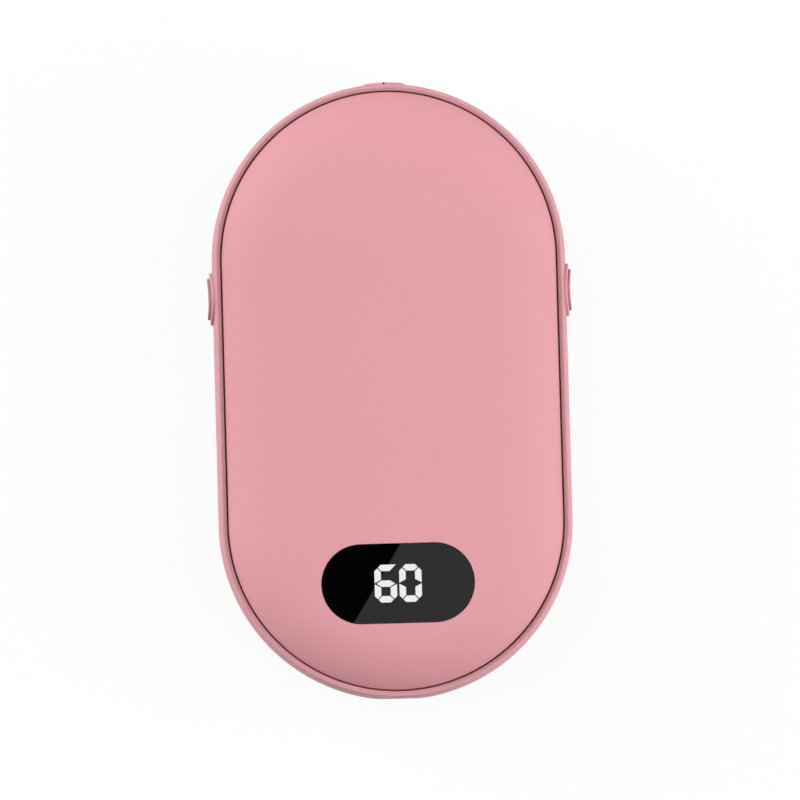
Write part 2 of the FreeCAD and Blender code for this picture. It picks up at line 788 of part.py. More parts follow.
def stroke_solids(lit, crown_ball):
    # Light guides that run up through the window and end flush with its crowned face.
    solids = []
    pitch = size("digit_pitch").number
    rise = Vector(0, 0, size("front_wall").number)
    for digit, middle_x in (("6", -pitch / 2), ("0", pitch / 2)):
        for stroke in "abcdefg":
            if (stroke in digit_strokes[digit]) != lit:
                continue
            spots = [
                Vector(middle_x + x, window_y.number + y, window_low.number)
                for x, y in stroke_outline(digit, stroke)
            ]
            face = Part.Face(Part.makePolygon(spots + spots[:1]))
            solids.append(face.extrude(rise).common(crown_ball))
    return Part.makeCompound([solid for shape in solids for solid in shape.Solids])


def build_display():
    prism = doc.addObject("PartDesign::Body", "window_prism")
    outline = new_sketch(prism, "XY_Plane", (0, window_y, window_low))
    draw_slot(outline, size("window_length"), size("window_width"))
    pad(prism, outline, size("front_wall"))
    ball = doc.addObject("Part::Sphere", "crown_ball")
    bind(ball, "Radius", size("crown_radius"))
    place(ball, 0, -arc_centre, thickness - size("crown_radius"))
    doc.recompute()

    lens = doc.addObject("Part::Common", "window_crowned")
    lens.Base = prism
    lens.Tool = ball
    lit = name_part(doc.addObject("Part::Feature", "lit_segments"), "lit_segments")
    lit.Shape = stroke_solids(True, ball.Shape)
    lit.Placement = Placement()
    dark = name_part(doc.addObject("Part::Feature", "dark_segments"), "dark_segments")
    dark.Shape = stroke_solids(False, ball.Shape)
    dark.Placement = Placement()
    lit_holes = doc.addObject("Part::Cut", "window_lit_holes")
    lit_holes.Base = lens
    lit_holes.Tool = lit
    window = name_part(doc.addObject("Part::Cut", "display_window"), "display_window")
    window.Base = lit_holes
    window.Tool = dark

    tape = new_body("window_tape")
    ring = new_sketch(tape, "XY_Plane", (0, window_y, window_seat))
    draw_slot(ring, size("window_length"), size("window_width"))
    inset = size("tape_width") * 2
    draw_slot(ring, size("window_length") - inset, size("window_width") - inset)
    pad(tape, ring, size("tape_thickness"))

    half_module = size("module_length") / 2
    half_depth = size("module_width") / 2
    block(
        "display_module",
        (-half_module, window_y - half_depth, board_high),
        (half_module, window_y + half_depth, window_low - size("module_gap")),
    )


def build_main_board():
    board = new_body("main_board")
    half_edge = root(board_radius * board_radius - (board_edge + arc_centre) * (board_edge + arc_centre))
    outline = new_sketch(board, "XY_Plane", (0, 0, board_low))
    draw(
        outline,
        [(-half_edge, board_edge), (half_edge, board_edge)],
        {0: (0, -arc_centre, board_radius, 1)},
    )
    for x in (-board_post_x, board_post_x):
        draw_circle(outline, hole_diameter, x, board_post_y)
    pad(board, outline, size("board_thickness"))

    chip_y = board_edge - size("chip_inset")
    spread = board_post_x * chip_share
    half = size("control_chip_side") / 2
    control_x = spread + half * 2
    control_y = board_edge - size("control_chip_inset")
    block(
        "control_chip",
        (control_x - half, control_y - half, board_high),
        (control_x + half, control_y + half, board_high + size("control_chip_height")),
    )
    half_x = size("charge_chip_length") / 2
    half_y = size("charge_chip_width") / 2
    block(
        "charge_chip",
        (-spread - half_x, chip_y - half_y, board_low - size("charge_chip_height")),
        (-spread + half_x, chip_y + half_y, board_low),
    )
    half = size("inductor_side") / 2
    block(
        "inductor",
        (spread - half, chip_y - half, board_low - size("inductor_height")),
        (spread + half, chip_y + half, board_low),
    )


def build_usb_socket():
    mouth = half_length - size("end_flat") - size("usb_setback")
    shell = new_body("usb_c_shell")
    outline = new_sketch(shell, "XZ_Plane", (0, mid, mouth))
    draw_slot(outline, size("usb_width"), size("usb_height"))
    pad(shell, outline, size("usb_length"), backward=True)
    hollow = new_sketch(shell, "XZ_Plane", (0, mid, mouth))
    walls = size("usb_wall") * 2
    draw_slot(hollow, size("usb_width") - walls, size("usb_height") - walls)
    pocket(shell, hollow, size("usb_length") - size("usb_wall"))

    root_y = size("usb_length") - size("usb_wall") - mouth
    half_tongue = size("tongue_width") / 2
    half_thick = size("tongue_thickness") / 2
    block(
        "usb_c_tongue",
        (-half_tongue, root_y - size("tongue_length"), mid - half_thick),
        (half_tongue, root_y, mid + half_thick),
    )


def face_outline(centre_x, face_radius, side, tall, far):
    # Everything between a face that bulges like the frame's wall, to this side, and this far out.
    face_x = centre_x + root(face_radius * face_radius - tall * tall) * side
    corners = [(far, -tall), (far, tall), (face_x, tall), (face_x, -tall)]
    return corners, {2: (centre_x, 0, face_radius, -side)}


def scoop_cap(cap, stand, radius):
    # The cap's face bulges with the frame's wall and is hollow along it, for a finger. The tool
    # is a spool about an upright axis outside the cap, drawn on the axis's far side.
    swing = tangent_radius(radius, size("button_scoop"))
    spool = new_sketch(cap, "XZ_Plane", (stand - size("button_scoop") + swing, 0, 0))
    face_radius = bulge + stand
    tall = radius + size("cut_overrun")
    draw(spool, *face_outline(swing + face_radius, face_radius, -1, tall, zero))
    hollow(cap, spool, "V_Axis")


def build_button(name, flange_front, stand, diameter, position, turn):
    # Cap with a flange that keeps it in, its plunger, and the switch on its small board.
    back, board_front, switch_front, screw_x = button_depths(flange_front)
    rotation = Rotation(Vector(0, 0, 1), turn)
    radius = diameter / 2
    cap = new_body(f"{name}_button")
    profile = new_sketch(cap, "XY_Plane")
    corners = [
        (back, 0),
        (back, radius + size("flange_width")),
        (flange_front, radius + size("flange_width")),
        (flange_front, radius),
    ]
    if name == "power":
        dimple = size("dimple_diameter") / 2
        dome = tangent_radius(radius, size("power_crown"))
        brim = stand - dome + root(dome * dome - dimple * dimple)
        corners += [(stand - size("power_crown"), radius), (brim, dimple)]
        corners += [(stand - size("dimple_depth"), 0)]
        draw(profile, corners, {4: (stand - dome, 0, dome, -1)})
        revolve(cap, profile, "H_Axis")
    else:
        draw(profile, corners + [(stand, radius), (stand, 0)])
        revolve(cap, profile, "H_Axis")
        scoop_cap(cap, stand, radius)
    soften(cap, radius, flange_front, size("button_edge"))
    place(cap, *position, rotation)

    plunger = name_part(doc.addObject("Part::Cylinder", f"{name}_plunger"), f"{name}_plunger")
    bind(plunger, "Radius", size("plunger_diameter") / 2)
    bind(plunger, "Height", size("plunger_reach") + size("plunger_hold"))
    inward = {0: (1, 0), 90: (0, 1), 180: (-1, 0)}[turn]

    def local(x, y, z):
        # Turns a place of the button's own axes into the part's frame.
        return (
            position[0] + as_size(x) * inward[0] - as_size(y) * inward[1],
            position[1] + as_size(x) * inward[1] + as_size(y) * inward[0],
            position[2] + as_size(z),
        )

    outward = Vector(inward[0], inward[1], 0)
    place(plunger, *local(switch_front - size("plunger_hold"), 0, 0), Rotation(Vector(0, 0, 1), outward))

    switch = new_body(f"{name}_switch")
    half_switch = switch_width / 2
    half_tall = size("switch_height") / 2
    face = new_sketch(switch, "YZ_Plane", (0, 0, switch_front))
    draw_block(face, -half_switch, -half_tall, half_switch, half_tall)
    pad(switch, face, size("switch_depth"), backward=True)
    bore = new_sketch(switch, "YZ_Plane", (0, 0, switch_front))
    clearance = size("plunger_clearance")
    draw_circle(bore, size("plunger_diameter") + clearance * 2)
    pocket(switch, bore, size("plunger_hold") + size("button_travel") + clearance)
    place(switch, *position, rotation)

    board = new_body(f"{name}_switch_board")
    half_board = size("switch_board_width") / 2
    board_level = -half_tall - size("switch_board_thickness")
    if name == "power":
        board_back = stop_end + size("lead_standoff") - position[1]
    else:
        board_back = cell_x + cell_radius + size("switch_board_clearance") - half_width
    plan = new_sketch(board, "XY_Plane", (0, 0, board_level))
    draw_block(plan, board_back, -half_board, board_front, half_board)
    for y in (-screw_spread / 2, screw_spread / 2):
        draw_circle(plan, hole_diameter, screw_x, y)
        screw_places.append(local(screw_x, y, -half_tall) + (size("switch_board_thickness"),))
    pad(board, plan, size("switch_board_thickness"))
    place(board, *position, rotation)


def build_collar(name, position, turn):
    # Round step that the side button stands in, with a sleeve through the frame's wall.
    collar = new_body(f"{name}_collar")
    profile = new_sketch(collar, "XY_Plane")
    outer = size("collar_diameter") / 2
    stand = size("collar_stand")
    corners = [
        (sleeve_end, bore_diameter / 2),
        (sleeve_end, sleeve_diameter / 2),
        (-size("collar_seat"), sleeve_diameter / 2),
        (-size("collar_seat"), outer),
        (stand, outer),
        (stand, bore_diameter / 2),
    ]
    draw(profile, corners)
    revolve(collar, profile, "H_Axis")
    beyond = outer + size("cut_overrun")
    face = new_sketch(collar, "XZ_Plane", (0, 0, -beyond))
    draw(face, *face_outline(-bulge, bulge + stand, 1, beyond, stand + size("cut_overrun")))
    pocket(collar, face, beyond * 2, along_normal=True)
    soften(collar, outer, zero, size("button_edge"))
    place(collar, *position, Rotation(Vector(0, 0, 1), turn))


def build_screws(label, places):
    # Identical pan-head screws, one solid each: place of the head's underside and what it clamps.
    solids = []
    shank = size("screw_diameter").number / 2
    head = size("screw_head_diameter").number / 2
    for x, y, z, clamped in places:
        seat = Vector(x.number, y.number, z.number)
        length = clamped.number + size("screw_grip").number
        body = Part.makeCylinder(shank, length, seat - Vector(0, 0, length))
        top = Part.makeCylinder(head, size("screw_head_height").number, seat)
        solids.append(top.fuse(body).removeSplitter().Solids[0])
    screws = name_part(doc.addObject("Part::Feature", label), label)
    screws.Shape = Part.makeCompound(solids)
    screws.Placement = Placement()


def build_cells():
    for name, side in (("left", -1), ("right", 1)):
        cell = new_body(f"{name}_cell")
        profile = new_sketch(cell, "XY_Plane")
        edge = size("cell_edge")
        cap = size("cap_height")
        length = cell_end - cell_start
        corners = [
            (0, 0),
            (size("cap_diameter") / 2, 0),
            (size("cap_diameter") / 2, cap),
            (cell_radius - edge, cap),
            (cell_radius, cap + edge),
            (cell_radius, length - edge),
            (cell_radius - edge, length),
            (0, length),
        ]
        draw(profile, corners)
        revolve(cell, profile, "V_Axis")
        place(cell, cell_x * side, cell_start, cell_middle)

    half_link = size("link_length") / 2
    half_tall = size("link_width") / 2
    strip = size("link_thickness")
    for name, near, far in (
        ("positive_link", cell_start - strip, cell_start),
        ("negative_link", cell_end, cell_end + strip),
    ):
        block(
            name,
            (-half_link, near, cell_middle - half_tall),
            (half_link, far, cell_middle + half_tall),
        )


def build_tray():
    # Spine between the cells, two saddles with screw ears, and a stop at each end.
    tray = new_body("battery_tray")
    half_spine = size("tray_spine_width") / 2
    spine = new_sketch(tray, "XY_Plane", (0, 0, tray_low))
    draw_block(spine, -half_spine, stop_start, half_spine, stop_end)
    pad(tray, spine, size("tray_floor"))

    outer = cell_x + cell_radius + size("saddle_wall")
    crest = tray_low + size("saddle_crest")
    half_section = [
        (0, tray_low),
        (outer, tray_low),
        (outer, ear_low),
        (wall_radius - size("ear_gap"), ear_low),
        (wall_radius - size("ear_gap"), cell_middle),
        (cell_x, cell_middle),
        (cell_x, crest),
        (0, crest),
    ]
    saddles = []
    for y in saddle_stations:
        section = new_sketch(tray, "XZ_Plane", (0, 0, -(y + size("saddle_width") / 2)))
        draw(section, half_section)
        saddles.append(pad(tray, section, size("saddle_width")))
    mirror(tray, saddles, "YZ_Plane")

    cradle = new_sketch(tray, "XZ_Plane", (0, 0, -stop_end))
    for x in (-cell_x, cell_x):
        draw_circle(cradle, cell_diameter + size("cell_clearance") * 2, x, cell_middle)
    pocket(tray, cradle, stop_end - stop_start, along_normal=True)

    holes = new_sketch(tray, "XY_Plane", (0, 0, cell_middle))
    for x in (-tray_post_x, tray_post_x):
        for y in saddle_stations:
            draw_circle(holes, hole_diameter, x, y)
            tray_screw_places.append((x, y, cell_middle, size("ear_thickness")))
    pocket(tray, holes, size("ear_thickness"))

    for start, height in (
        (stop_start, board_low - tray_low),
        (stop_end - size("tray_stop"), size("tray_stop_height")),
    ):
        stop = new_sketch(tray, "XY_Plane", (0, 0, tray_low))
        draw_block(stop, -half_spine, start, half_spine, start + size("tray_stop"))
        pad(tray, stop, height)
    doc.recompute()


def build_heaters():
    # Each film lies on its plate and has a tail bent down, or up, to the main board.
    film_length = plate_length - size("film_margin") * 2
    film_width = plate_width - size("film_margin") * 2
    film = size("film_thickness")
    landing = board_edge - size("tail_landing")
    half_tail = size("tail_width") / 2
    levels = {
        "front": (inner_top - size("plate_thickness"), front_film_low, board_high, 1),
        "rear": (inner_bottom, rear_film_high - film, board_low, -1),
    }
    for name, (plate_low, film_low, board_face, side) in levels.items():
        plate = new_body(f"{name}_heat_plate")
        outline = new_sketch(plate, "XY_Plane", (0, plate_middle, plate_low), 90)
        draw_slot(outline, plate_length, plate_width)
        pad(plate, outline, size("plate_thickness"))

        heater = new_body(f"{name}_heater_film")
        outline = new_sketch(heater, "XY_Plane", (0, plate_middle, film_low), 90)
        draw_slot(outline, film_length, film_width)
        pad(heater, outline, film)
        far = film_low + film if side > 0 else film_low
        inner = film_low if side > 0 else film_low + film
        bend = [
            (landing, board_face),
            (landing + film, board_face),
            (landing + film, inner),
            (plate_middle, inner),
            (plate_middle, far),
            (landing, far),
        ]
        tail = new_sketch(heater, "YZ_Plane", (0, 0, size("tail_offset") * side - half_tail))
        draw(tail, bend)
        pad(heater, tail, size("tail_width"))


def bent_tube(label, route, diameter):
    # Round wire along straight runs with an arc at each corner.
    spots = [Vector(*[as_size(length).number for length in spot]) for spot in route]
    edges = []
    start = spots[0]
    for before, corner, after in zip(spots, spots[1:], spots[2:]):
        arrive = (corner - before).normalize()
        leave = (after - corner).normalize()
        setback = bend_share * min((corner - before).Length, (after - corner).Length)
        turn = arrive.getAngle(leave)
        radius = setback / math.tan(turn / 2)
        bisector = (leave - arrive).normalize()
        centre = corner + bisector * (radius / math.cos(turn / 2))
        first = corner - arrive * setback
        last = corner + leave * setback
        edges.append(Part.LineSegment(start, first).toShape())
        edges.append(Part.Arc(first, centre - bisector * radius, last).toShape())
        start = last
    edges.append(Part.LineSegment(start, spots[-1]).toShape())
    path = Part.Wire(edges)
    radius = diameter.number / 2
    ring = Part.Wire(Part.Circle(spots[0], spots[1] - spots[0], radius).toShape())
    solid = path.makePipeShell([ring], True, False)
    expected = math.pi * radius * radius * path.Length
    if abs(solid.Volume - expected) > 0.01 * expected:
        raise RuntimeError(f"{label} has the wrong volume")
    wire = name_part(doc.addObject("Part::Feature", label), label)
    wire.Shape = solid
    wire.Placement = Placement()


def build_leads():
    positive_y = cell_start - size("link_thickness")
    positive_z = cell_middle - size("lead_drop")
    landing = positive_y - size("lead_standoff")
    positive_route = [
        (size("tail_offset"), positive_y, positive_z),
        (size("tail_offset"), landing, positive_z),
        (size("tail_offset"), landing, board_low),
    ]
    bent_tube("positive_lead", positive_route, size("lead_diameter"))
    negative_y = cell_end + size("link_thickness")
    negative_z = cell_middle + size("lead_drop")
    groove_z = cell_middle + size("lead_height")
    turn_y = negative_y + size("lead_standoff")
    drop_y = board_edge - size("tail_landing") + size("lead_diameter") / 4
    negative_route = [
        (0, negative_y, negative_z),
        (0, turn_y, negative_z),
        (0, turn_y, groove_z),
        (0, drop_y, groove_z),
        (0, drop_y, board_high),
    ]
    bent_tube("negative_lead", negative_route, size("lead_diameter"))


def build_sensors():
    # Temperature bead under the front film, and the fuse on the tray's spine.
    bead = name_part(doc.addObject("Part::Cylinder", "thermistor"), "thermistor")
    radius = size("thermistor_diameter") / 2
    bind(bead, "Radius", radius)
    bind(bead, "Height", size("thermistor_length"))
    along = Rotation(Vector(0, 0, 1), Vector(0, 1, 0))
    place(bead, 0, plate_middle + size("thermistor_offset"), front_film_low - radius, along)

    fuse = new_body("thermal_fuse")
    profile = new_sketch(fuse, "XY_Plane")
    half = size("fuse_length") / 2
    reach = half + size("fuse_lead_length")
    radius = size("fuse_diameter") / 2
    wire = size("fuse_lead_diameter") / 2
    corners = [
        (0, -reach),
        (wire, -reach),
        (wire, -half),
        (radius, -half),
        (radius, half),
        (wire, half),
        (wire, reach),
        (0, reach),
    ]
    draw(profile, corners)
    revolve(fuse, profile, "V_Axis")
    fuse_y = (saddle_stations[1] + cell_end) / 2
    place(fuse, 0, fuse_y, tray_low + size("tray_floor") + radius)


build_middle_frame()
build_front_cover()
build_rear_cover()
build_display()
build_main_board()
build_usb_socket()
build_button(
    "left",
    side_flange,
    size("collar_stand") + size("button_stand"),
    size("button_diameter"),
    (-half_width, button_y, mid),
    180,
)
build_button(
    "right",
    side_flange,
    size("collar_stand") + size("button_stand"),
    size("button_diameter"),
    (half_width, button_y, mid),
    0,
)
build_button(
    "power", power_flange, size("power_stand"), size("power_diameter"), (zero, half_length, mid), 90
)
build_collar("left", (-half_width, button_y, mid), 180)
build_collar("right", (half_width, button_y, mid), 0)
build_cells()
build_tray()
build_heaters()
build_leads()
build_sensors()
for x in (-board_post_x, board_post_x):
    screw_places.append((x, board_post_y, board_high, size("board_thickness")))
build_screws("board_screws", screw_places)
build_screws("tray_screws", tray_screw_places)
doc.recompute()

for item in doc.Objects:
    if {"Invalid", "Error"} & set(item.State):
        raise RuntimeError(f"{item.Label} did not build: {item.State}")
for label, item in sub_parts.items():
    if item.Shape.isNull() or not item.Shape.isValid():
        raise RuntimeError(f"{label} has no valid shape")

os.makedirs("parts", exist_ok=True)
for label, item in sub_parts.items():
    item.Shape.exportStep(f"parts/{label}.step")
    box = item.Shape.optimalBoundingBox(False)
    print(
        f"{label}: {len(item.Shape.Solids)} solid(s), {item.Shape.Volume:.2f} mm3,"
        f" x {box.XMin:.2f} {box.XMax:.2f}, y {box.YMin:.2f} {box.YMax:.2f}, z {box.ZMin:.2f} {box.ZMax:.2f}"
    )
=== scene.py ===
import math

import bmesh
import bpy
from mathutils import Matrix, Vector


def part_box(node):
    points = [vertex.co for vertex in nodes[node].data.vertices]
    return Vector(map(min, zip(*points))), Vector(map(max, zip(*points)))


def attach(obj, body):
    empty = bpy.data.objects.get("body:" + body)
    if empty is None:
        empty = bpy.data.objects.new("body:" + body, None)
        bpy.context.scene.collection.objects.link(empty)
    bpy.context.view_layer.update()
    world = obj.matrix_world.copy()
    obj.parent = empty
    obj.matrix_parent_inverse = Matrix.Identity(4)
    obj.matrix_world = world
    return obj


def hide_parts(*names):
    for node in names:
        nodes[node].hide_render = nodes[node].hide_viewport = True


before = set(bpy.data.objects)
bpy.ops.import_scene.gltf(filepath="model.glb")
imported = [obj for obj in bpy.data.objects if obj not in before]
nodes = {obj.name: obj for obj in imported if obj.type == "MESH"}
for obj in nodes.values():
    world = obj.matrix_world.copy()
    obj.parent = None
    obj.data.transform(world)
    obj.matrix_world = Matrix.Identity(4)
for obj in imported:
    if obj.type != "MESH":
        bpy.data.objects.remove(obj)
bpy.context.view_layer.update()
mm = 0.001
print("frame loaded with", len(nodes), "nodes")

# Sizes that the frame gives, in millimetres
frameLow, frameHigh = [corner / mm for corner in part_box("middle_frame")]
windowLow, windowHigh = [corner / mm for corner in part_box("display_window")]
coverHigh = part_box("front_cover")[1] / mm
halfWidth = frameHigh.x
mid = (frameLow.z + frameHigh.z) / 2
edgeRadius = coverHigh.x
arcCentre = coverHigh.y - coverHigh.x
windowMiddle = (windowLow.y + windowHigh.y) / 2

noiseSpan = (0.3, 0.7)  # nearly all values of a noise pattern lie between these
sharpAngle = math.radians(38)
weldGap = 1e-7  # metres


def hexToLinear(text):
    # sRGB hex to the linear numbers that a shader takes
    channels = [int(text[i:i + 2], 16) / 255 for i in (1, 3, 5)]
    return [c / 12.92 if c <= 0.04045 else ((c + 0.055) / 1.055) ** 2.4 for c in channels] + [1.0]


def perMm(size):
    return 1 / (size * mm)  # texture scale whose pattern repeats about every size millimetres


def addNode(tree, kind, settings=None, links=None):
    # a setting is an attribute of the node or one of its sockets; a link is socket: (node, output)
    node = tree.nodes.new(kind)
    for key, value in (settings or {}).items():
        if isinstance(key, str) and hasattr(node, key):
            setattr(node, key, value)
        else:
            node.inputs[key].default_value = value
    for key, (source, output) in (links or {}).items():
        tree.links.new(source.outputs[output], node.inputs[key])
    return node


def startMaterial(name):
    # a bare material, its tree, and the link that tells a pattern its place on the object
    material = bpy.data.materials.new(name)
    material.use_nodes = True
    tree = material.node_tree
    tree.nodes.clear()
    return material, tree, (addNode(tree, "ShaderNodeTexCoord"), "Object")


def endMaterial(tree, shader):
    addNode(tree, "ShaderNodeOutputMaterial", links={"Surface": (shader, 0)})


def toneRange(tones):
    # settings of a mix that runs from one hex colour to another
    return {"data_type": "RGBA", 6: hexToLinear(tones[0]), 7: hexToLinear(tones[1])}


def valueRange(before, after):
    return {"From Min": before[0], "From Max": before[1], "To Min": after[0], "To Max": after[1]}


# Soft-touch paint over moulded ABS: dead matt, a trace of velvet at grazing angles, and tones
# that drift a little across the shell. The rubbery grain is drawn at 0.5 mm so that it shows.
# A deep rose is painted into the seam's gap as painted shade, to make the line darker.
paintLook = dict(
    tones=("#e49da5", "#e7a1a9"),
    speckTones=("#de979f", "#eaa6ad"),
    speckShare=0.3,
    driftMm=28,
    grainMm=0.5,
    grainDepthMm=0.006,
    roughness=(0.55, 0.68),
    sheen=0.07,
    # painted shade in the seam's gap
    seamShadeTone="#a2525a",
    # painted shade on the frame's slope from lip to crest, where the cover shades it
    slopeShadeTone="#ce999e",
)
seam = dict(
    gap=0.3,
    rise=5.55,
    margin=0.02,  # how far the painted shade in the gap runs past both walls of the gap
    shadeInset=0.06,  # how far in from the gap's mouth the painted shade begins
    lipOverlap=0.01,
    # the painted shade on the frame's slope fades out between these radii, and starts this far above the
    # middle plane
    crest=(30.45, 30.8),
    slopeFoot=5.0,
)


def shadeSeam(tree, place, colour, look):
    # painted shade: deep rose in the gap beside a cover, and a duskier rose band on the frame's slope from
    # lip to crest
    axes = addNode(tree, "ShaderNodeSeparateXYZ", links={0: place})
    along = addNode(tree, "ShaderNodeMath", {"operation": "ABSOLUTE"}, {0: (axes, "Y")})
    past = addNode(tree, "ShaderNodeMath", {"operation": "SUBTRACT", 1: arcCentre * mm}, {0: (along, 0)})
    past = addNode(tree, "ShaderNodeMath", {"operation": "MAXIMUM", 1: 0.0}, {0: (past, 0)})
    spread = addNode(tree, "ShaderNodeCombineXYZ", links={"X": (axes, "X"), "Y": (past, 0)})
    reach = addNode(tree, "ShaderNodeVectorMath", {"operation": "LENGTH"}, {0: (spread, 0)})
    rise = addNode(tree, "ShaderNodeMath", {"operation": "SUBTRACT", 1: mid * mm}, {0: (axes, "Z")})
    rise = addNode(tree, "ShaderNodeMath", {"operation": "ABSOLUTE"}, {0: (rise, 0)})

    lip = edgeRadius + seam["gap"]
    outside = {"operation": "GREATER_THAN", 1: (lip - seam["lipOverlap"]) * mm}
    start = addNode(tree, "ShaderNodeMath", outside, {0: (reach, "Value")})
    above = {"operation": "GREATER_THAN", 1: seam["slopeFoot"] * mm}
    high = addNode(tree, "ShaderNodeMath", above, {0: (rise, 0)})
    falling = valueRange([radius * mm for radius in seam["crest"]], (1.0, 0.0))
    falling["interpolation_type"] = "SMOOTHSTEP"
    fade = addNode(tree, "ShaderNodeMapRange", falling, {"Value": (reach, "Value")})
    # mask of the painted shade on the frame's slope
    slope = addNode(tree, "ShaderNodeMath", {"operation": "MULTIPLY"}, {0: (start, 0), 1: (high, 0)})
    slope = addNode(tree, "ShaderNodeMath", {"operation": "MULTIPLY"}, {0: (slope, 0), 1: (fade, 0)})

    centre, half = (edgeRadius + lip) / 2, seam["gap"] / 2 + seam["margin"]
    between = {"operation": "COMPARE", 1: centre * mm, 2: half * mm}
    inside = addNode(tree, "ShaderNodeMath", between, {0: (reach, "Value")})
    under = {"operation": "LESS_THAN", 1: (seam["rise"] - seam["shadeInset"]) * mm}
    deep = addNode(tree, "ShaderNodeMath", under, {0: (rise, 0)})
    gap = addNode(tree, "ShaderNodeMath", {"operation": "MULTIPLY"}, {0: (inside, 0), 1: (deep, 0)})
    # both tones are painted shade, laid over the paint where these masks say
    for mask, tone in ((slope, look["slopeShadeTone"]), (gap, look["seamShadeTone"])):
        links = {0: (mask, 0), 6: (colour, 2)}
        colour = addNode(tree, "ShaderNodeMix", {"data_type": "RGBA", 7: hexToLinear(tone)}, links)
    return colour


def makePaint(name, look):
    material, tree, place = startMaterial(name)
    drifting = {"Scale": perMm(look["driftMm"]), "Detail": 2.0}
    drift = addNode(tree, "ShaderNodeTexNoise", drifting, {"Vector": place})
    pebbled = {"Scale": perMm(look["grainMm"]), "Detail": 3.0}
    grain = addNode(tree, "ShaderNodeTexNoise", pebbled, {"Vector": place})
    body = addNode(tree, "ShaderNodeMix", toneRange(look["tones"]), {0: (drift, 0)})
    specks = addNode(tree, "ShaderNodeMix", toneRange(look["speckTones"]), {0: (grain, 0)})
    shared = {"data_type": "RGBA", 0: look["speckShare"]}
    colour = addNode(tree, "ShaderNodeMix", shared, {6: (body, 2), 7: (specks, 2)})
    if "seamShadeTone" in look:
        colour = shadeSeam(tree, place, colour, look)
    spread = valueRange(noiseSpan, look["roughness"])
    rough = addNode(tree, "ShaderNodeMapRange", spread, {"Value": (grain, 0)})
    relief = {"Strength": 0.5, "Distance": look["grainDepthMm"] * mm}
    bump = addNode(tree, "ShaderNodeBump", relief, {"Height": (grain, 0)})
    shader = addNode(
        tree,
        "ShaderNodeBsdfPrincipled",
        {"IOR": 1.5, "Sheen Weight": look["sheen"], "Sheen Roughness": 0.4},
        {"Base Color": (colour, 2), "Roughness": (rough, 0), "Normal": (bump, 0)},
    )
    endMaterial(tree, shader)
    return material


softTouchPaint = makePaint("softTouchPaintOnMouldedAbs", paintLook)

# The power button has the same paint, rubbed a little smoother by fingers. The side caps are coloured a
# deeper, duller rose than the paint, so that they show as dark bands beside their pale collars.
rubbedLook = dict(
    tones=paintLook["tones"],
    speckTones=paintLook["speckTones"],
    speckShare=0.3,
    driftMm=9,
    grainMm=0.4,
    grainDepthMm=0.004,
    roughness=(0.45, 0.55),
    sheen=0.02,
)
# the caps' colour is darkened to give the dark bands that the caps show
darkCapLook = dict(
    tones=("#b57b84", "#bd838b"),
    speckTones=("#ad747d", "#c48b92"),
    speckShare=0.3,
    driftMm=6,
    grainMm=0.35,
    grainDepthMm=0.008,
    roughness=(0.6, 0.75),
    sheen=0.05,
)
buttonPaint = makePaint("rubbedPaintOnMouldedAbs", rubbedLook)
darkCapFinish = makePaint("darkRoseCapFinish", darkCapLook)


# Smoked acrylic, cast and polished: black through and through, with a clean mirror-like skin that
# has only faint wipe marks.
windowLook = dict(
    tones=("#010101", "#030304"),
    wipeMm=3.0,
    wipeStretch=(0.25, 1.0, 1.0),
    wipeTurn=0.4,
    wipeSpan=(0.35, 0.75),
    roughness=(0.01, 0.035),
)


def makeWindow(look):
    material, tree, place = startMaterial("smokedAcrylicPolished")
    strokes = {"Scale": look["wipeStretch"], "Rotation": (0, 0, look["wipeTurn"])}
    stretch = addNode(tree, "ShaderNodeMapping", strokes, {"Vector": place})
    streaked = {"Scale": perMm(look["wipeMm"]), "Detail": 4.0}
    wipes = addNode(tree, "ShaderNodeTexNoise", streaked, {"Vector": (stretch, 0)})
    depth = addNode(tree, "ShaderNodeMix", toneRange(look["tones"]), {0: (wipes, 0)})
    spread = valueRange(look["wipeSpan"], look["roughness"])
    rough = addNode(tree, "ShaderNodeMapRange", spread, {"Value": (wipes, 0)})
    links = {"Base Color": (depth, 2), "Roughness": (rough, 0)}
    endMaterial(tree, addNode(tree, "ShaderNodeBsdfPrincipled", {"IOR": 1.41}, links))
    return material


# Milky acrylic light guides, lit from below: an even white that is warmer in faint clouds.
guideLook = dict(glow=("#ececec", "#f6f5f3"), body="#1c1c1c", cloudMm=0.9, strength=0.93)


def makeLitGuide(look):
    material, tree, place = startMaterial("milkyAcrylicGuideLit")
    cloudy = {"Scale": perMm(look["cloudMm"]), "Detail": 2.0}
    cloud = addNode(tree, "ShaderNodeTexNoise", cloudy, {"Vector": place})
    glow = addNode(tree, "ShaderNodeMix", toneRange(look["glow"]), {0: (cloud, 0)})
    body = {"Base Color": hexToLinear(look["body"]), "Roughness": 0.3, "IOR": 1.49}
    body["Emission Strength"] = look["strength"]
    endMaterial(tree, addNode(tree, "ShaderNodeBsdfPrincipled", body, {"Emission Color": (glow, 2)}))
    return material


smokedAcrylic = makeWindow(windowLook)
litGuide = makeLitGuide(guideLook)


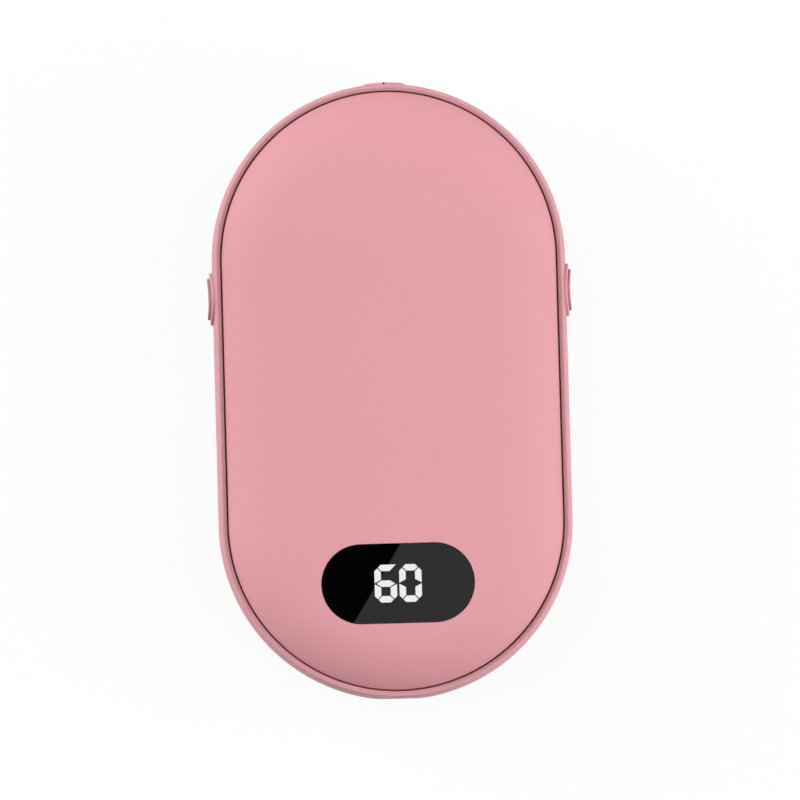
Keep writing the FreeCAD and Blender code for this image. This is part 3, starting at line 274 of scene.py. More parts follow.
# The other finishes differ in tone, grain, sheen and the direction of their marks
def makeFinish(
    name, tones, grainMm, roughness, depthMm=0.01, metallic=0.0, ior=1.5, stretch=(1, 1, 1), coat=0.0
):
    material, tree, place = startMaterial(name)
    turned = addNode(tree, "ShaderNodeMapping", {"Scale": stretch}, {"Vector": place})
    marked = {"Scale": perMm(grainMm), "Detail": 4.0}
    grain = addNode(tree, "ShaderNodeTexNoise", marked, {"Vector": (turned, 0)})
    colour = addNode(tree, "ShaderNodeMix", toneRange(tones), {0: (grain, 0)})
    rough = addNode(tree, "ShaderNodeMapRange", valueRange(noiseSpan, roughness), {"Value": (grain, 0)})
    relief = {"Strength": 0.6, "Distance": depthMm * mm}
    bump = addNode(tree, "ShaderNodeBump", relief, {"Height": (grain, 0)})
    shader = addNode(
        tree,
        "ShaderNodeBsdfPrincipled",
        {"Metallic": metallic, "IOR": ior, "Coat Weight": coat},
        {"Base Color": (colour, 2), "Roughness": (rough, 0), "Normal": (bump, 0)},
    )
    endMaterial(tree, shader)
    return material


finishes = {
    "dark_guide": makeFinish(  # unlit guide: as black as the window it ends in
        "smokedAcrylicGuideUnlit", ("#020202", "#040404"), 2.0, (0.02, 0.05), depthMm=0.0005, ior=1.41
    ),
    "tape": makeFinish(  # black foam tape: dull, with open pores
        "acrylicFoamTape", ("#1b1b1c", "#2b2b2c"), 0.4, (0.8, 0.95), depthMm=0.05
    ),
    "display_plastic": makeFinish(  # white reflector block: clean satin moulding
        "mouldedWhitePolycarbonate", ("#dcdbd7", "#e8e7e3"), 1.2, (0.4, 0.5)
    ),
    "board_green": makeFinish(  # solder mask: green lacquer with a faint weave under it
        "solderMaskOnGlassLaminate", ("#14492b", "#1d6038"), 0.8, (0.25, 0.4), coat=0.3, stretch=(1, 3, 1)
    ),
    "chip_black": makeFinish(  # transfer-moulded epoxy: charcoal with a sandy skin
        "mouldedEpoxy", ("#1d1d1f", "#2a2a2c"), 0.25, (0.55, 0.7), depthMm=0.015
    ),
    "ferrite": makeFinish(  # sintered ferrite: dark grey and slightly granular
        "sinteredFerrite", ("#38383b", "#4a4a4d"), 0.3, (0.6, 0.8), depthMm=0.02
    ),
    "socket_plastic": makeFinish(  # glass-filled nylon: black with fine flow marks
        "mouldedGlassFilledNylon", ("#1a1a1a", "#252525"), 0.3, (0.45, 0.6), stretch=(1, 0.3, 1)
    ),
    "socket_steel": makeFinish(  # deep-drawn stainless: bright with draw lines along its length
        "drawnStainlessSteel", ("#c3c4c6", "#d6d7d8"), 0.25, (0.18, 0.3), metallic=1.0, stretch=(1, 0.08, 1)
    ),
    "switch_black": makeFinish(  # moulded nylon: charcoal, satin
        "mouldedNylon", ("#242426", "#2f2f31"), 0.5, (0.4, 0.55)
    ),
    "cell_wrap": makeFinish(  # shrunk vinyl sleeve: blue, glossy, gently rippled
        "shrunkVinylSleeve", ("#5480b4", "#5f8cc0"), 4.0, (0.2, 0.3), depthMm=0.03, stretch=(1, 0.4, 1)
    ),
    "nickel": makeFinish(  # rolled nickel strip: warm grey with rolling lines
        "rolledNickel", ("#cfcabf", "#d9d4c9"), 0.3, (0.25, 0.4), metallic=1.0, stretch=(0.1, 1, 1)
    ),
    "tray_plastic": makeFinish(  # moulded tray: dark grey with a spark-eroded texture
        "mouldedPolypropylene", ("#4d4d50", "#58585b"), 0.6, (0.55, 0.7), depthMm=0.02
    ),
    "heat_aluminium": makeFinish(  # mill-finish sheet: pale, with rolling lines along its length
        "rolledAluminium", ("#dddee0", "#e6e7e8"), 0.4, (0.25, 0.4), metallic=1.0, stretch=(1, 0.06, 1)
    ),
    "heater_film": makeFinish(  # polyimide film: amber and glossy, faintly cloudy
        "polyimideFilm", ("#cd8a3a", "#d99a48"), 2.5, (0.2, 0.35), coat=0.4
    ),
    "glass_bead": makeFinish(  # dipped epoxy bead: black and shiny with a soft ripple
        "dippedEpoxy", ("#3a3a3a", "#454545"), 0.8, (0.12, 0.2), depthMm=0.02
    ),
    "fuse_metal": makeFinish(  # drawn can: grey metal with lines along its length
        "drawnTinnedBrass", ("#cfd0cd", "#dadbd8"), 0.25, (0.2, 0.32), metallic=1.0, stretch=(1, 0.1, 1)
    ),
    "red_wire": makeFinish(  # silicone insulation: red, soft satin
        "extrudedSiliconeRed", ("#c02a26", "#cb3a34"), 0.8, (0.45, 0.6)
    ),
    "black_wire": makeFinish(  # silicone insulation: black, soft satin
        "extrudedSiliconeBlack", ("#1f1f20", "#2a2a2b"), 0.8, (0.45, 0.6)
    ),
    "screw_steel": makeFinish(  # zinc plate: bluish bright with turning marks
        "zincPlatedSteel", ("#bfc3c8", "#cfd3d8"), 0.2, (0.25, 0.38), metallic=1.0
    ),
    "pink_shell": softTouchPaint,
    "pink_button": buttonPaint,
    "window_black": smokedAcrylic,
    "digit_white": litGuide,
}
goldContact = makeFinish(  # thin gold over nickel: warm, with fine wiping marks
    "flashedGold", ("#d9b25c", "#e6c373"), 0.2, (0.2, 0.3), metallic=1.0, stretch=(1, 0.1, 1)
)

for node in nodes.values():
    for index, old in enumerate(node.data.materials):
        node.data.materials[index] = finishes[old.name.split(".")[0]]
print("materials made:", len(bpy.data.materials))


def arcPoints(centre, radius, first, last, steps):
    turns = [first + (last - first) * step / steps for step in range(steps + 1)]
    return [(centre[0] + radius * math.cos(turn), centre[1] + radius * math.sin(turn), 0) for turn in turns]


def tangentArc(start, normal, end, steps):
    # arc that leaves start square to its normal and runs to end, without the start point
    start, normal, end = Vector(start), Vector(normal).normalized(), Vector(end)
    step = end - start
    radius = -step.length_squared / (2 * step.dot(normal))
    centre = start - normal * radius
    first = math.atan2(*(start - centre).yx)
    turn = (end - centre).angle_signed(start - centre)
    return arcPoints(centre, abs(radius), first, first + turn, steps)[1:]


def roundCorners(corners, closed=True, steps=4):
    # corners are (across, along, round); a round of 0 keeps the corner sharp
    outline = []
    count = len(corners)
    for i, (x, y, radius) in enumerate(corners):
        here = Vector((x, y))
        if radius <= 0 or (not closed and i in (0, count - 1)):
            outline.append((x, y))
            continue
        before = (Vector(corners[i - 1][:2]) - here).normalized()
        after = (Vector(corners[(i + 1) % count][:2]) - here).normalized()
        half = before.angle(after) / 2
        centre = here + (before + after).normalized() * (radius / math.sin(half))
        start = here + before * (radius / math.tan(half)) - centre
        end = here + after * (radius / math.tan(half)) - centre
        first = math.atan2(start.y, start.x)
        turn = end.angle_signed(start)
        outline += [point[:2] for point in arcPoints(centre, radius, first, first + turn, steps)]
    return outline


def weld(mesh, gap):
    # joins twin points and drops the faces that have no width
    bmesh.ops.remove_doubles(mesh, verts=mesh.verts, dist=gap)
    bmesh.ops.dissolve_degenerate(mesh, edges=mesh.edges, dist=gap / 10)


def smooth(data):
    data.shade_smooth()
    data.set_sharp_from_angle(angle=sharpAngle)


def finishMesh(name, mesh, material, body=None, turn=None):
    # welds, smooths and colours a new piece, and lets it ride on its body; a cutter has none
    weld(mesh, weldGap)
    bmesh.ops.recalc_face_normals(mesh, faces=mesh.faces)
    if turn:
        mesh.transform(turn)
    data = bpy.data.meshes.new(name)
    mesh.to_mesh(data)
    mesh.free()
    smooth(data)
    data.materials.append(material)
    piece = bpy.data.objects.new(name, data)
    bpy.context.scene.collection.objects.link(piece)
    if body:
        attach(piece, body)
    return piece


def skinRings(rings, closed):
    mesh = bmesh.new()
    spots = [[mesh.verts.new(Vector(point) * mm) for point in ring] for ring in rings]
    count = len(spots[0])
    for here, there in zip(spots, spots[1:] + spots[:1]):
        for i in range(count if closed else count - 1):
            j = (i + 1) % count
            mesh.faces.new((here[i], here[j], there[j], there[i]))
    return mesh


def sweepOblong(outline, centre, closed, roundSteps=80, straightSteps=24):
    # carries a half section (radius, height) round an oblong plan whose long axis is Y
    rings = []
    for end, start in ((1, 0.0), (-1, math.pi)):
        for step in range(roundSteps + 1):
            angle = start + math.pi * step / roundSteps
            x, y = math.cos(angle), math.sin(angle)
            rings.append([(x * r, end * centre + y * r, z) for r, z in outline])
        for step in range(1, straightSteps):
            along = end * centre * (1 - 2 * step / straightSteps)
            rings.append([(-end * r, along, z) for r, z in outline])
    return skinRings(rings, closed)


def spinProfile(profile, closed=False, steps=96):
    # turns a profile (along, radius) about the X axis
    rings = []
    for step in range(steps):
        angle = 2 * math.pi * step / steps
        rings.append([(x, r * math.cos(angle), r * math.sin(angle)) for x, r in profile])
    return skinRings(rings, closed)


def addBlock(mesh, low, high):
    # box between two corners, in metres
    place = Matrix.Translation((low + high) / 2) @ Matrix.Diagonal((*(high - low), 1))
    bmesh.ops.create_cube(mesh, size=1.0, matrix=place)


def carve(piece, cutters):
    # cuts solids out of a piece, keeps the result as its mesh and removes the cutters
    for cutter in cutters:
        cut = piece.modifiers.new("cut", "BOOLEAN")
        cut.object = cutter
        cut.solver = "EXACT"
    bpy.context.view_layer.update()
    result = bpy.data.meshes.new_from_object(piece.evaluated_get(bpy.context.evaluated_depsgraph_get()))
    piece.modifiers.clear()
    piece.data = result
    for cutter in cutters:
        bpy.data.objects.remove(cutter)
    mesh = bmesh.new()
    mesh.from_mesh(result)
    weld(mesh, weldGap * 10)  # cuts leave twin points along their rims
    mesh.to_mesh(result)
    mesh.free()
    smooth(result)


def evenNormals(piece):
    # large faces keep their own direction beside the small rounded edges
    weight = piece.modifiers.new("evenNormals", "WEIGHTED_NORMAL")
    weight.keep_sharp = True


def rimCorners(size, skirtEnd):
    # edge of a shell, from the seam to the skirt that stands inside the frame
    return [
        (edgeRadius, size["seamHeight"], size["edgeRound"]),
        (edgeRadius, size["seatHeight"], size["skirtRound"]),
        (size["skirtOuter"], size["seatHeight"], 0),
        (size["skirtOuter"], skirtEnd, size["skirtRound"]),
        (size["skirtInner"], skirtEnd, size["skirtRound"]),
    ]


# Front shell: a low crown that runs into a rounder shoulder, with a stepped recess for the window
frontShell = dict(
    crownRadius=128.0,
    crownReach=20.0,
    seamHeight=18.55,
    seatHeight=17.6,
    skirtDepth=0.8,
    skirtOuter=27.68,
    skirtInner=26.18,
    skirtRound=0.1,
    innerReach=17.5,
    wall=2.9,
    edgeRound=0.07,
    windowGap=0.12,
    windowLedge=1.8,
    windowSeat=23.75,
    cutOver=1.0,  # how far the window's cutters stand past the shell
    crownSteps=22,
    shoulderSteps=26,
    innerSteps=14,
)
crownBall = Vector((0, -arcCentre, coverHigh.z - frontShell["crownRadius"])) * mm  # under the window


def oblongCutter(length, width, low, high, y):
    # upright prism with round ends, long axis along X
    outline = [(0, low), (width / 2, low), (width / 2, high), (0, high)]
    turn = Matrix.Translation((0, y * mm, 0)) @ Matrix.Rotation(math.pi / 2, 4, "Z")
    mesh = sweepOblong(outline, (length - width) / 2, False, roundSteps=40, straightSteps=2)
    return finishMesh("cutter", mesh, softTouchPaint, turn=turn)


def buildFrontShell(size):
    top, crown = coverHigh.z, size["crownRadius"]
    ceiling = top - size["wall"]
    lean = math.asin(size["crownReach"] / crown)
    crownLine = arcPoints((0, top - crown), crown, math.pi / 2, math.pi / 2 - lean, size["crownSteps"])
    slant = (math.sin(lean), math.cos(lean))
    shoulder = tangentArc(crownLine[-1][:2], slant, (edgeRadius, size["seamHeight"]), size["shoulderSteps"])
    seat = (size["skirtInner"], size["seatHeight"])
    inner = tangentArc((size["innerReach"], ceiling), (0, 1), seat, size["innerSteps"])
    section = crownLine + shoulder[:-1] + rimCorners(size, size["seatHeight"] - size["skirtDepth"])
    section += inner[::-1] + [(size["innerReach"], ceiling, 0), (0, ceiling, 0)]
    mesh = sweepOblong(roundCorners(section, closed=False), arcCentre, False)
    shell = finishMesh("frontShell", mesh, softTouchPaint, "housing")
    length, width = windowHigh.x - windowLow.x, windowHigh.y - windowLow.y
    gap, ledge, over = size["windowGap"] * 2, size["windowLedge"] * 2, size["cutOver"]
    recess = oblongCutter(length + gap, width + gap, size["windowSeat"], top + over, windowMiddle)
    opening = oblongCutter(length - ledge, width - ledge, ceiling - over, top, windowMiddle)
    carve(shell, [recess, opening])
    evenNormals(shell)
    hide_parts("front_cover")


# Rear shell: flat to rest on, with one shoulder up to the seam
rearShell = dict(
    flatReach=16.0,
    wall=2.2,
    seamHeight=7.45,
    seatHeight=8.4,
    skirtHeight=0.8,
    skirtOuter=27.68,
    skirtInner=26.18,
    skirtRound=0.1,
    edgeRound=0.07,
    shoulderSteps=30,
    innerSteps=14,
)


def buildRearShell(size):
    flat, inside = (size["flatReach"], 0), (size["flatReach"], size["wall"])
    shoulder = tangentArc(flat, (0, -1), (edgeRadius, size["seamHeight"]), size["shoulderSteps"])
    inner = tangentArc(inside, (0, -1), (size["skirtInner"], size["seatHeight"]), size["innerSteps"])
    section = [(0, 0, 0), (*flat, 0)] + shoulder[:-1]
    section += rimCorners(size, size["seatHeight"] + size["skirtHeight"])
    section += inner[::-1] + [(*inside, 0), (0, size["wall"], 0)]
    mesh = sweepOblong(roundCorners(section, closed=False), arcCentre, False)
    shell = finishMesh("rearShell", mesh, softTouchPaint, "housing")
    evenNormals(shell)
    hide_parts("rear_cover")


# Frame ring: a bulged wall with a crest, lip and shelf at both seams, bored for buttons and plug;
# rises are from its middle plane
frameRing = dict(
    bulge=22.0,
    crestRise=5.78,
    crestRadius=30.496,
    crestHeight=5.866,
    crestRound=0.2,
    lipRadius=29.98,
    lipRise=5.55,
    lipRound=0.05,
    shelfRise=4.6,
    shelfUnder=2.6,
    shelfRadius=27.83,
    shelfRound=0.1,
    wallRadius=29.3,
    wallSteps=28,
    collarBore=9.96,
    collarSeat=1.05,
    sleeveBore=8.5,
    powerBore=7.8,
    boreDepth=6.0,
    boreOver=2.0,  # how far a bore's cutter stands past the wall
    portLength=9.24,
    portHeight=3.46,
    portChamfer=0.18,
    portDepth=8.0,
    endFlat=0.25,
    flatHalf=(8.0, 6.5),  # half the length and height of the block that cuts the end flat
    flatOver=1.0,
)


def boreCutter(steps, outside, turn):
    # round cutter along X, with steps (diameter, depth in the wall) from the deepest to the outermost
    ends = [-depth for diameter, depth in steps] + [outside]
    profile = [(ends[0], 0)]
    for (diameter, depth), end in zip(steps, ends[1:]):
        profile += [(-depth, diameter / 2), (end, diameter / 2)]
    profile.append((outside, 0))
    return finishMesh("cutter", spinProfile(profile), softTouchPaint, turn=turn)


def plugTurn(y):
    # lays an oblong sweep across the lower end at y, with its heights running into the body
    stand = Matrix.Translation((0, y * mm, mid * mm)) @ Matrix.Rotation(-math.pi / 2, 4, "X")
    return stand @ Matrix.Rotation(math.pi / 2, 4, "Z")


def portCutter(size):
    # slot for the charging plug, with a small chamfer where it meets the end flat
    half, over, depth = size["portHeight"] / 2, size["flatOver"], size["portDepth"]
    wide = half + size["portChamfer"]
    outline = [(0, -over), (wide, -over), (wide, 0), (half, size["portChamfer"]), (half, depth), (0, depth)]
    spine = (size["portLength"] - size["portHeight"]) / 2
    mesh = sweepOblong(outline, spine, False, roundSteps=32, straightSteps=2)
    turn = plugTurn(-(arcCentre + halfWidth - size["endFlat"]))
    return finishMesh("cutter", mesh, softTouchPaint, turn=turn)


def flatCutter(size, end):
    # block that takes the round off the lower end, where the plug goes in
    length, height = size["flatHalf"]
    low = Vector((-length, -end - size["flatOver"], mid - height))
    high = Vector((length, -end + size["endFlat"], mid + height))
    mesh = bmesh.new()
    addBlock(mesh, low * mm, high * mm)
    return finishMesh("cutter", mesh, softTouchPaint)


def buildFrameRing(size):
    lean = math.asin(size["crestRise"] / size["bulge"])
    wall = arcPoints((halfWidth - size["bulge"], 0), size["bulge"], -lean, lean, size["wallSteps"])
    upper = [
        (size["crestRadius"], size["crestHeight"], size["crestRound"]),
        (size["lipRadius"], size["lipRise"], size["lipRound"]),
        (size["lipRadius"], size["shelfRise"], 0),
        (size["shelfRadius"], size["shelfRise"], size["shelfRound"]),
        (size["shelfRadius"], size["shelfUnder"], size["shelfRound"]),
        (size["wallRadius"], size["shelfUnder"], 0),
    ]
    lower = [(r, -z, radius) for r, z, radius in upper[::-1]]
    section = [(r, z + mid) for r, z in roundCorners(wall + upper + lower)]
    mesh = sweepOblong(section, arcCentre, True)
    ring = finishMesh("frameRing", mesh, softTouchPaint, "housing")
    cutters = []
    collarSteps = [(size["sleeveBore"], size["boreDepth"]), (size["collarBore"], size["collarSeat"])]
    for node, side in (("left_collar", math.pi), ("right_collar", 0.0)):
        low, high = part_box(node)
        spot = (halfWidth * mm * math.cos(side), (low.y + high.y) / 2, mid * mm)
        turn = Matrix.Translation(spot) @ Matrix.Rotation(side, 4, "Z")
        cutters.append(boreCutter(collarSteps, size["boreOver"], turn))
    end = arcCentre + halfWidth
    turn = Matrix.Translation((0, end * mm, mid * mm)) @ Matrix.Rotation(math.pi / 2, 4, "Z")
    cutters.append(boreCutter([(size["powerBore"], size["boreDepth"])], size["boreOver"], turn))
    cutters += [flatCutter(size, end), portCutter(size)]
    carve(ring, cutters)
    evenNormals(ring)
    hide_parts("middle_frame")


windowLens = dict(facing=0.9, tolerance=0.3)  # its crowned face looks up and lies on the crown's ball


def buildLens(size):
    # the window's own mesh, with the crown's true normals so that reflections run straight
    node = nodes["display_window"]
    data = node.data.copy()
    data.name = "windowLens"
    data.transform(node.matrix_world)
    least = (frontShell["crownRadius"] - size["tolerance"]) * mm
    normals = [corner.vector.copy() for corner in data.corner_normals]
    for face in data.polygons:
        if face.normal.z > size["facing"] and (face.center - crownBall).length > least:
            for corner in face.loop_indices:
                point = data.vertices[data.loops[corner].vertex_index].co
                normals[corner] = (point - crownBall).normalized()
    data.normals_split_custom_set(normals)
    lens = bpy.data.objects.new("windowLens", data)
    bpy.context.scene.collection.objects.link(lens)
    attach(lens, "housing")
    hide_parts("display_window")


buildFrontShell(frontShell)
buildRearShell(rearShell)
buildFrameRing(frameRing)
buildLens(windowLens)
print("shells built")


# Push buttons: on each long side a cap in a round collar, both bulging with the frame's wall and
# the cap hollowed for a finger; at the top end a domed cap with a dimple and a tiny lamp
sideButton = dict(
    radius=3.7,
    stand=1.0,
    scoop=0.22,
    edgeRound=0.2,
    faceSteps=10,
    flange=0.45,
    flangeThickness=0.5,
    flangeRound=0.08,
    collarRadius=4.7,
    collarStand=0.5,
    collarDepth=1.55,
    sleeveRadius=4.2,
    boreRadius=3.85,
    boreRound=0.1,
    backRound=0.05,
    bendDepth=0.45,
)
powerButton = dict(
    radius=3.75,
    crown=0.32,
    dimple=0.5,
    dimpleDepth=0.344,
    dimpleRound=0.08,
    edgeRound=0.2,
    faceSteps=12,
    flange=0.45,
    flangeThickness=0.5,
    flangeRound=0.08,
    lampRadius=0.2,
    lampRise=3.64,
    lampDepth=0.44,
)


def outwardTurn(node, side):
    # places a profile's zero at the outermost plane of a node, with its X axis pointing out
    low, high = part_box(node)
    spot = (low + high) / 2
    if side == "left":
        return Matrix.Translation((low.x, spot.y, spot.z)) @ Matrix.Rotation(math.pi, 4, "Z")
    if side == "right":
        return Matrix.Translation((high.x, spot.y, spot.z))
    return Matrix.Translation((spot.x, high.y, spot.z)) @ Matrix.Rotation(math.pi / 2, 4, "Z")


def bendFace(mesh, size, stand, scoop):
    # lets the outer end of a turned piece follow the frame's wall, and hollows it along the wall
    bulge = frameRing["bulge"] + stand
    for vert in mesh.verts:
        x, y, z = vert.co / mm
        if x > -size["bendDepth"]:
            fall = bulge - math.sqrt(bulge ** 2 - z ** 2)
            vert.co.x -= (fall + scoop * (1 - (y / size["radius"]) ** 2)) * mm


def flangeCorners(size, depth):
    # side and back of a cap, from its flange to its axis
    back = size["flangeThickness"] - depth
    brim = size["radius"] + size["flange"]
    return [
        (back, size["radius"], 0),
        (back, brim, size["flangeRound"]),
        (-depth, brim, size["flangeRound"]),
        (-depth, 0, 0),
    ]


def buildSideButton(side, size):
    low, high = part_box(f"{side}_button")
    steps = size["faceSteps"]
    corners = [(0, size["radius"] * step / steps, 0) for step in range(steps)]
    corners += [(0, size["radius"], size["edgeRound"])] + flangeCorners(size, (high.x - low.x) / mm)
    mesh = spinProfile(roundCorners(corners, closed=False))
    bendFace(mesh, size, size["stand"], size["scoop"])
    turn = outwardTurn(f"{side}_button", side)
    cap = finishMesh(f"{side}Cap", mesh, darkCapFinish, f"{side}_key", turn)
    evenNormals(cap)
    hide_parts(f"{side}_button")

    low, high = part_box(f"{side}_collar")
    depth = (high.x - low.x) / mm
    corners = [
        (0, size["boreRadius"], size["boreRound"]),
        (0, size["collarRadius"], size["edgeRound"]),
        (-size["collarDepth"], size["collarRadius"], size["backRound"]),
        (-size["collarDepth"], size["sleeveRadius"], 0),
        (-depth, size["sleeveRadius"], size["backRound"]),
        (-depth, size["boreRadius"], size["backRound"]),
    ]
    mesh = spinProfile(roundCorners(corners), closed=True)
    bendFace(mesh, size, size["collarStand"], 0.0)
    turn = outwardTurn(f"{side}_collar", side)
    collar = finishMesh(f"{side}Ring", mesh, softTouchPaint, "housing", turn)
    evenNormals(collar)
    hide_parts(f"{side}_collar")


def buildPowerButton(size):
    low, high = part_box("power_button")
    ball = (size["radius"] ** 2 + size["crown"] ** 2) / (2 * size["crown"])
    brim, steps = size["dimple"], size["faceSteps"]
    face = []
    for step in range(steps + 1):
        r = brim + (size["radius"] - brim) * step / steps
        face.append((math.sqrt(ball ** 2 - r ** 2) - math.sqrt(ball ** 2 - brim ** 2), r, 0))
    face[0] = (*face[0][:2], size["dimpleRound"])
    face[-1] = (*face[-1][:2], size["edgeRound"])
    corners = [(-size["dimpleDepth"], 0, 0)] + face + flangeCorners(size, (high.y - low.y) / mm)
    mesh = spinProfile(roundCorners(corners, closed=False))
    turn = outwardTurn("power_button", "top")
    cap = finishMesh("powerCap", mesh, buttonPaint, "power_key", turn)
    evenNormals(cap)
    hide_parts("power_button")

    mesh = bmesh.new()
    spot = Vector((-size["lampDepth"], 0, size["lampRise"])) * mm
    bmesh.ops.create_uvsphere(mesh, u_segments=24, v_segments=14, radius=size["lampRadius"] * mm)
    mesh.transform(Matrix.Translation(spot))
    finishMesh("powerLamp", mesh, smokedAcrylic, "power_key", turn)


for side in ("left", "right"):
    buildSideButton(side, sideButton)
buildPowerButton(powerButton)
print("buttons built")


# Charging socket: drawn steel shell with a rolled lip, and a tongue with gold contacts on both faces
socket = dict(
    wall=0.3,
    lipRound=0.12,
    backRound=0.1,
    floorRound=0.05,
    tongueRound=0.12,
    contacts=12,
    contactPitch=0.5,
    contactWidth=0.26,
    contactLength=3.2,
    contactInset=0.4,
    contactRound=0.008,
    proud=0.02,
)


def buildSocket(size):
    low, high = [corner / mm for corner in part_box("usb_c_shell")]
    half, depth = (high.z - low.z) / 2, high.y - low.y
    spine = (high.x - low.x) / 2 - half
    inner, floor = half - size["wall"], depth - size["wall"]
    corners = [
        (0, depth, 0),
        (half, depth, size["backRound"]),
        (half, 0, size["lipRound"]),
        (inner, 0, size["lipRound"]),
        (inner, floor, size["floorRound"]),
        (0, floor, 0),
    ]
    mesh = sweepOblong(roundCorners(corners, closed=False), spine, False, roundSteps=32, straightSteps=4)
    turn = plugTurn(low.y)
    shell = finishMesh("socketShell", mesh, finishes["socket_steel"], "housing", turn)
    evenNormals(shell)
    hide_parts("usb_c_shell")

    low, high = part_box("usb_c_tongue")
    mesh = bmesh.new()
    addBlock(mesh, low, high)
    middle = (low.y + high.y) / 2
    edges = [edge for edge in mesh.edges if any(vert.co.y < middle for vert in edge.verts)]
    tip = size["tongueRound"] * mm
    bmesh.ops.bevel(mesh, geom=edges, offset=tip, segments=3, affect="EDGES", profile=0.5)
    tongue = finishMesh("socketTongue", mesh, finishes["socket_plastic"], "housing")
    evenNormals(tongue)
    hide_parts("usb_c_tongue")

    mesh = bmesh.new()
    strip = Vector((size["contactWidth"], size["contactLength"], 2 * size["proud"])) * mm
    first = -(size["contacts"] - 1) / 2
    y = low.y + (size["contactInset"] + size["contactLength"] / 2) * mm
    for index in range(size["contacts"]):
        for face in (low.z, high.z):
            spot = Vector(((first + index) * size["contactPitch"] * mm, y, face))
            addBlock(mesh, spot - strip / 2, spot + strip / 2)
    rim = size["contactRound"] * mm
    bmesh.ops.bevel(mesh, geom=mesh.edges[:], offset=rim, segments=1, affect="EDGES", profile=0.5)
    finishMesh("socketContacts", mesh, goldContact, "housing")


buildSocket(socket)
print("socket built")


# Studio: pale floor that keeps a soft shadow, a dome that is brightest low at the left and right and
# dark low at both ends, and a dark card overhead whose slanted edge shows in the polished window
def seenDirectly(tree):
    # 1 where the eye looks straight, in a mirror or through glass, and 0 for the light on the object
    light = addNode(tree, "ShaderNodeLightPath")
    straight = {0: (light, "Is Camera Ray"), 1: (light, "Is Glossy Ray")}
    seen = addNode(tree, "ShaderNodeMath", {"operation": "MAXIMUM"}, straight)
    through = {0: (seen, 0), 1: (light, "Is Transmission Ray")}
    return addNode(tree, "ShaderNodeMath", {"operation": "MAXIMUM"}, through)


def layCard(name, corners, material):
    # one flat face with its material
    data = bpy.data.meshes.new(name)
    data.from_pydata(corners, [], [(0, 1, 2, 3)])
    data.materials.append(material)
    card = bpy.data.objects.new(name, data)
    bpy.context.scene.collection.objects.link(card)
    return card


# Matt paper: its white share and the lit paper that shows through add up to a strength of 1
paperSweep = dict(reach=3.0, drop=0.05, tones=("#b6b6b6", "#bcbcbc"), fibreMm=2.0, white=1.13, whiteShare=0.8)


def buildFloor(size):
    material, tree, place = startMaterial("palePaperSweep")
    fibrous = {"Scale": perMm(size["fibreMm"]), "Detail": 3.0}
    fibre = addNode(tree, "ShaderNodeTexNoise", fibrous, {"Vector": place})
    tone = addNode(tree, "ShaderNodeMix", toneRange(size["tones"]), {0: (fibre, 0)})
    paper = addNode(tree, "ShaderNodeBsdfDiffuse", links={"Color": (tone, 2)})
    white = addNode(tree, "ShaderNodeEmission", {"Strength": size["white"]})
    part = {"operation": "MULTIPLY", 1: size["whiteShare"]}
    share = addNode(tree, "ShaderNodeMath", part, {0: (seenDirectly(tree), 0)})
    both = addNode(tree, "ShaderNodeMixShader", links={0: (share, 0), 1: (paper, 0), 2: (white, 0)})
    endMaterial(tree, both)
    far = size["reach"]
    floor = layCard("floor", [(-far, -far, 0), (far, -far, 0), (far, far, 0), (-far, far, 0)], material)
    floor.location.z = -size["drop"] * mm


dome = dict(level=1.028, lean=(0.469, 1.808, 0.0), brightAzimuth=-15.5, bright=2.72, dim=-5.3)


def buildWorld(size):
    world = bpy.data.worlds.new("studioDome")
    bpy.context.scene.world = world
    world.use_nodes = True
    tree = world.node_tree
    tree.nodes.clear()
    way = {0: (addNode(tree, "ShaderNodeTexCoord"), "Generated")}
    lean = addNode(tree, "ShaderNodeVectorMath", {"operation": "DOT_PRODUCT", 1: size["lean"]}, way)
    level = addNode(tree, "ShaderNodeMath", {"operation": "ADD", 1: size["level"]}, {0: (lean, "Value")})
    azimuth = math.radians(size["brightAzimuth"])
    across = (math.cos(azimuth), math.sin(azimuth), 0.0)
    along = (-math.sin(azimuth), math.cos(azimuth), 0.0)
    for axis, gain in ((across, size["bright"]), (along, size["dim"])):
        side = addNode(tree, "ShaderNodeVectorMath", {"operation": "DOT_PRODUCT", 1: axis}, way)
        square = addNode(tree, "ShaderNodeMath", {"operation": "POWER", 1: 2.0}, {0: (side, "Value")})
        links = {0: (square, 0), 2: (level, 0)}
        level = addNode(tree, "ShaderNodeMath", {"operation": "MULTIPLY_ADD", 1: gain}, links)
    level = addNode(tree, "ShaderNodeMath", {"operation": "MAXIMUM", 1: 0.0}, {0: (level, 0)})
    links = {0: (seenDirectly(tree), 0), 2: (level, 0)}
    strength = addNode(tree, "ShaderNodeMix", {"data_type": "FLOAT", 3: 1.0}, links)
    white = {"Color": hexToLinear("#ffffff")}
    glow = addNode(tree, "ShaderNodeBackground", white, {"Strength": (strength, 0)})
    addNode(tree, "ShaderNodeOutputWorld", links={"Surface": (glow, 0)})


# The photograph looks down from nearly overhead, a little to the near left, and leans by 1.6 degrees
photoView = dict(
    distance=1187,
    frameWidth=142.72,
    sensor=36,
    elevation=87.35,
    azimuth=-16.5,
    roll=-14.92,
    aim=(1.384, -1.525, 13.0),
)


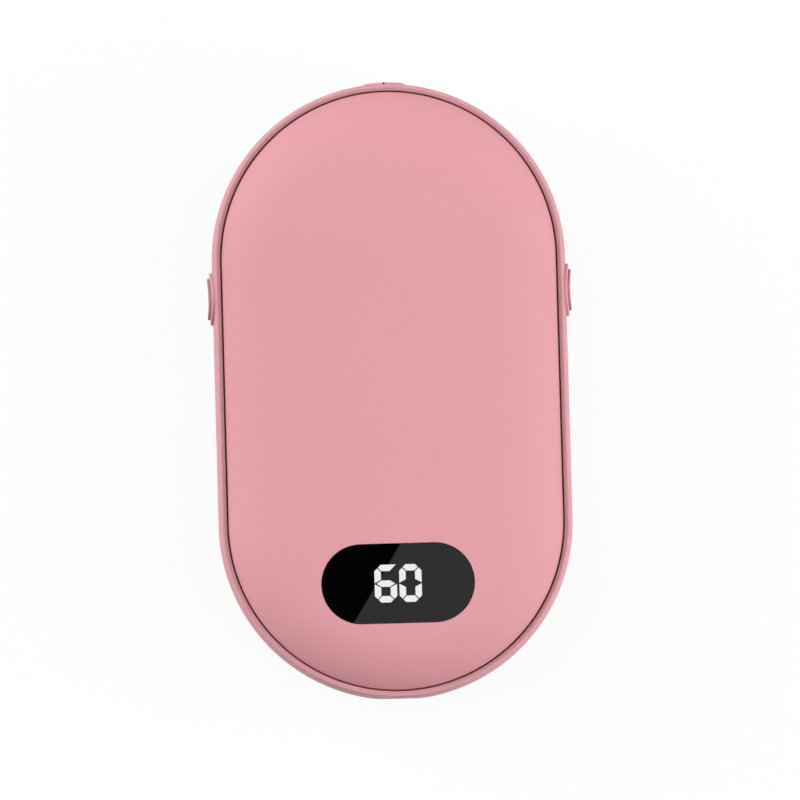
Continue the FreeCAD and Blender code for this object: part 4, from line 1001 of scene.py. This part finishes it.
def buildCamera(view):
    camera = bpy.data.cameras.new("photoCamera")
    camera.sensor_width = view["sensor"]
    camera.lens = view["sensor"] * view["distance"] / view["frameWidth"]
    rise, around, roll = (math.radians(view[name]) for name in ("elevation", "azimuth", "roll"))
    back = Vector((math.cos(rise) * math.sin(around), -math.cos(rise) * math.cos(around), math.sin(rise)))
    levelRight = Vector((math.cos(around), math.sin(around), 0))
    levelUp = back.cross(levelRight)
    up = levelUp * math.cos(roll) + levelRight * math.sin(roll)
    right = levelRight * math.cos(roll) - levelUp * math.sin(roll)
    holder = bpy.data.objects.new("photoCamera", camera)
    turn = Matrix((right, up, back)).transposed().to_4x4()
    holder.matrix_world = Matrix.Translation((Vector(view["aim"]) + back * view["distance"]) * mm) @ turn
    bpy.context.scene.collection.objects.link(holder)
    bpy.context.scene.camera = holder
    return holder


# Black flock on a card, in metres; upper and lower, in millimetres from the window's middle, are where
# the slanted edge of its reflection crosses the window
darkCard = dict(
    upper=(0.6, 6.95), lower=(-8.1, -6.95), height=1.0, reach=1.6, tones=("#000000", "#040404"), pileMm=4.0
)


def buildDarkCard(size, holder):
    crown, reach = frontShell["crownRadius"] * mm, size["reach"]
    middle = Vector((0, windowMiddle, 0)) * mm
    edge = []
    for across, along in (size["upper"], size["lower"]):
        spot = middle + Vector((across, along, 0)) * mm
        side = (spot - crownBall).xy.length
        spot.z = crownBall.z + math.sqrt(crown ** 2 - side ** 2)
        normal = (spot - crownBall).normalized()
        ray = (spot - holder.location).normalized().reflect(normal)
        edge.append(spot + ray * ((size["height"] - spot.z) / ray.z))
    along = (edge[0] - edge[1]).normalized()
    away = Vector((-along.y, along.x, 0))
    corners = [edge[0] + along * reach, edge[1] - along * reach]
    corners += [corners[1] + away * reach, corners[0] + away * reach]
    material, tree, place = startMaterial("blackFlock")
    pile = addNode(tree, "ShaderNodeTexNoise", {"Scale": perMm(size["pileMm"])}, {"Vector": place})
    tone = addNode(tree, "ShaderNodeMix", toneRange(size["tones"]), {0: (pile, 0)})
    endMaterial(tree, addNode(tree, "ShaderNodeBsdfDiffuse", links={"Color": (tone, 2)}))
    card = layCard("darkCard", corners, material)
    card.visible_camera = False
    card.visible_diffuse = False
    card.visible_shadow = False


bpy.context.scene.view_settings.view_transform = "Standard"
buildFloor(paperSweep)
buildWorld(dome)
photoCamera = buildCamera(photoView)
buildDarkCard(darkCard, photoCamera)
print("studio built")
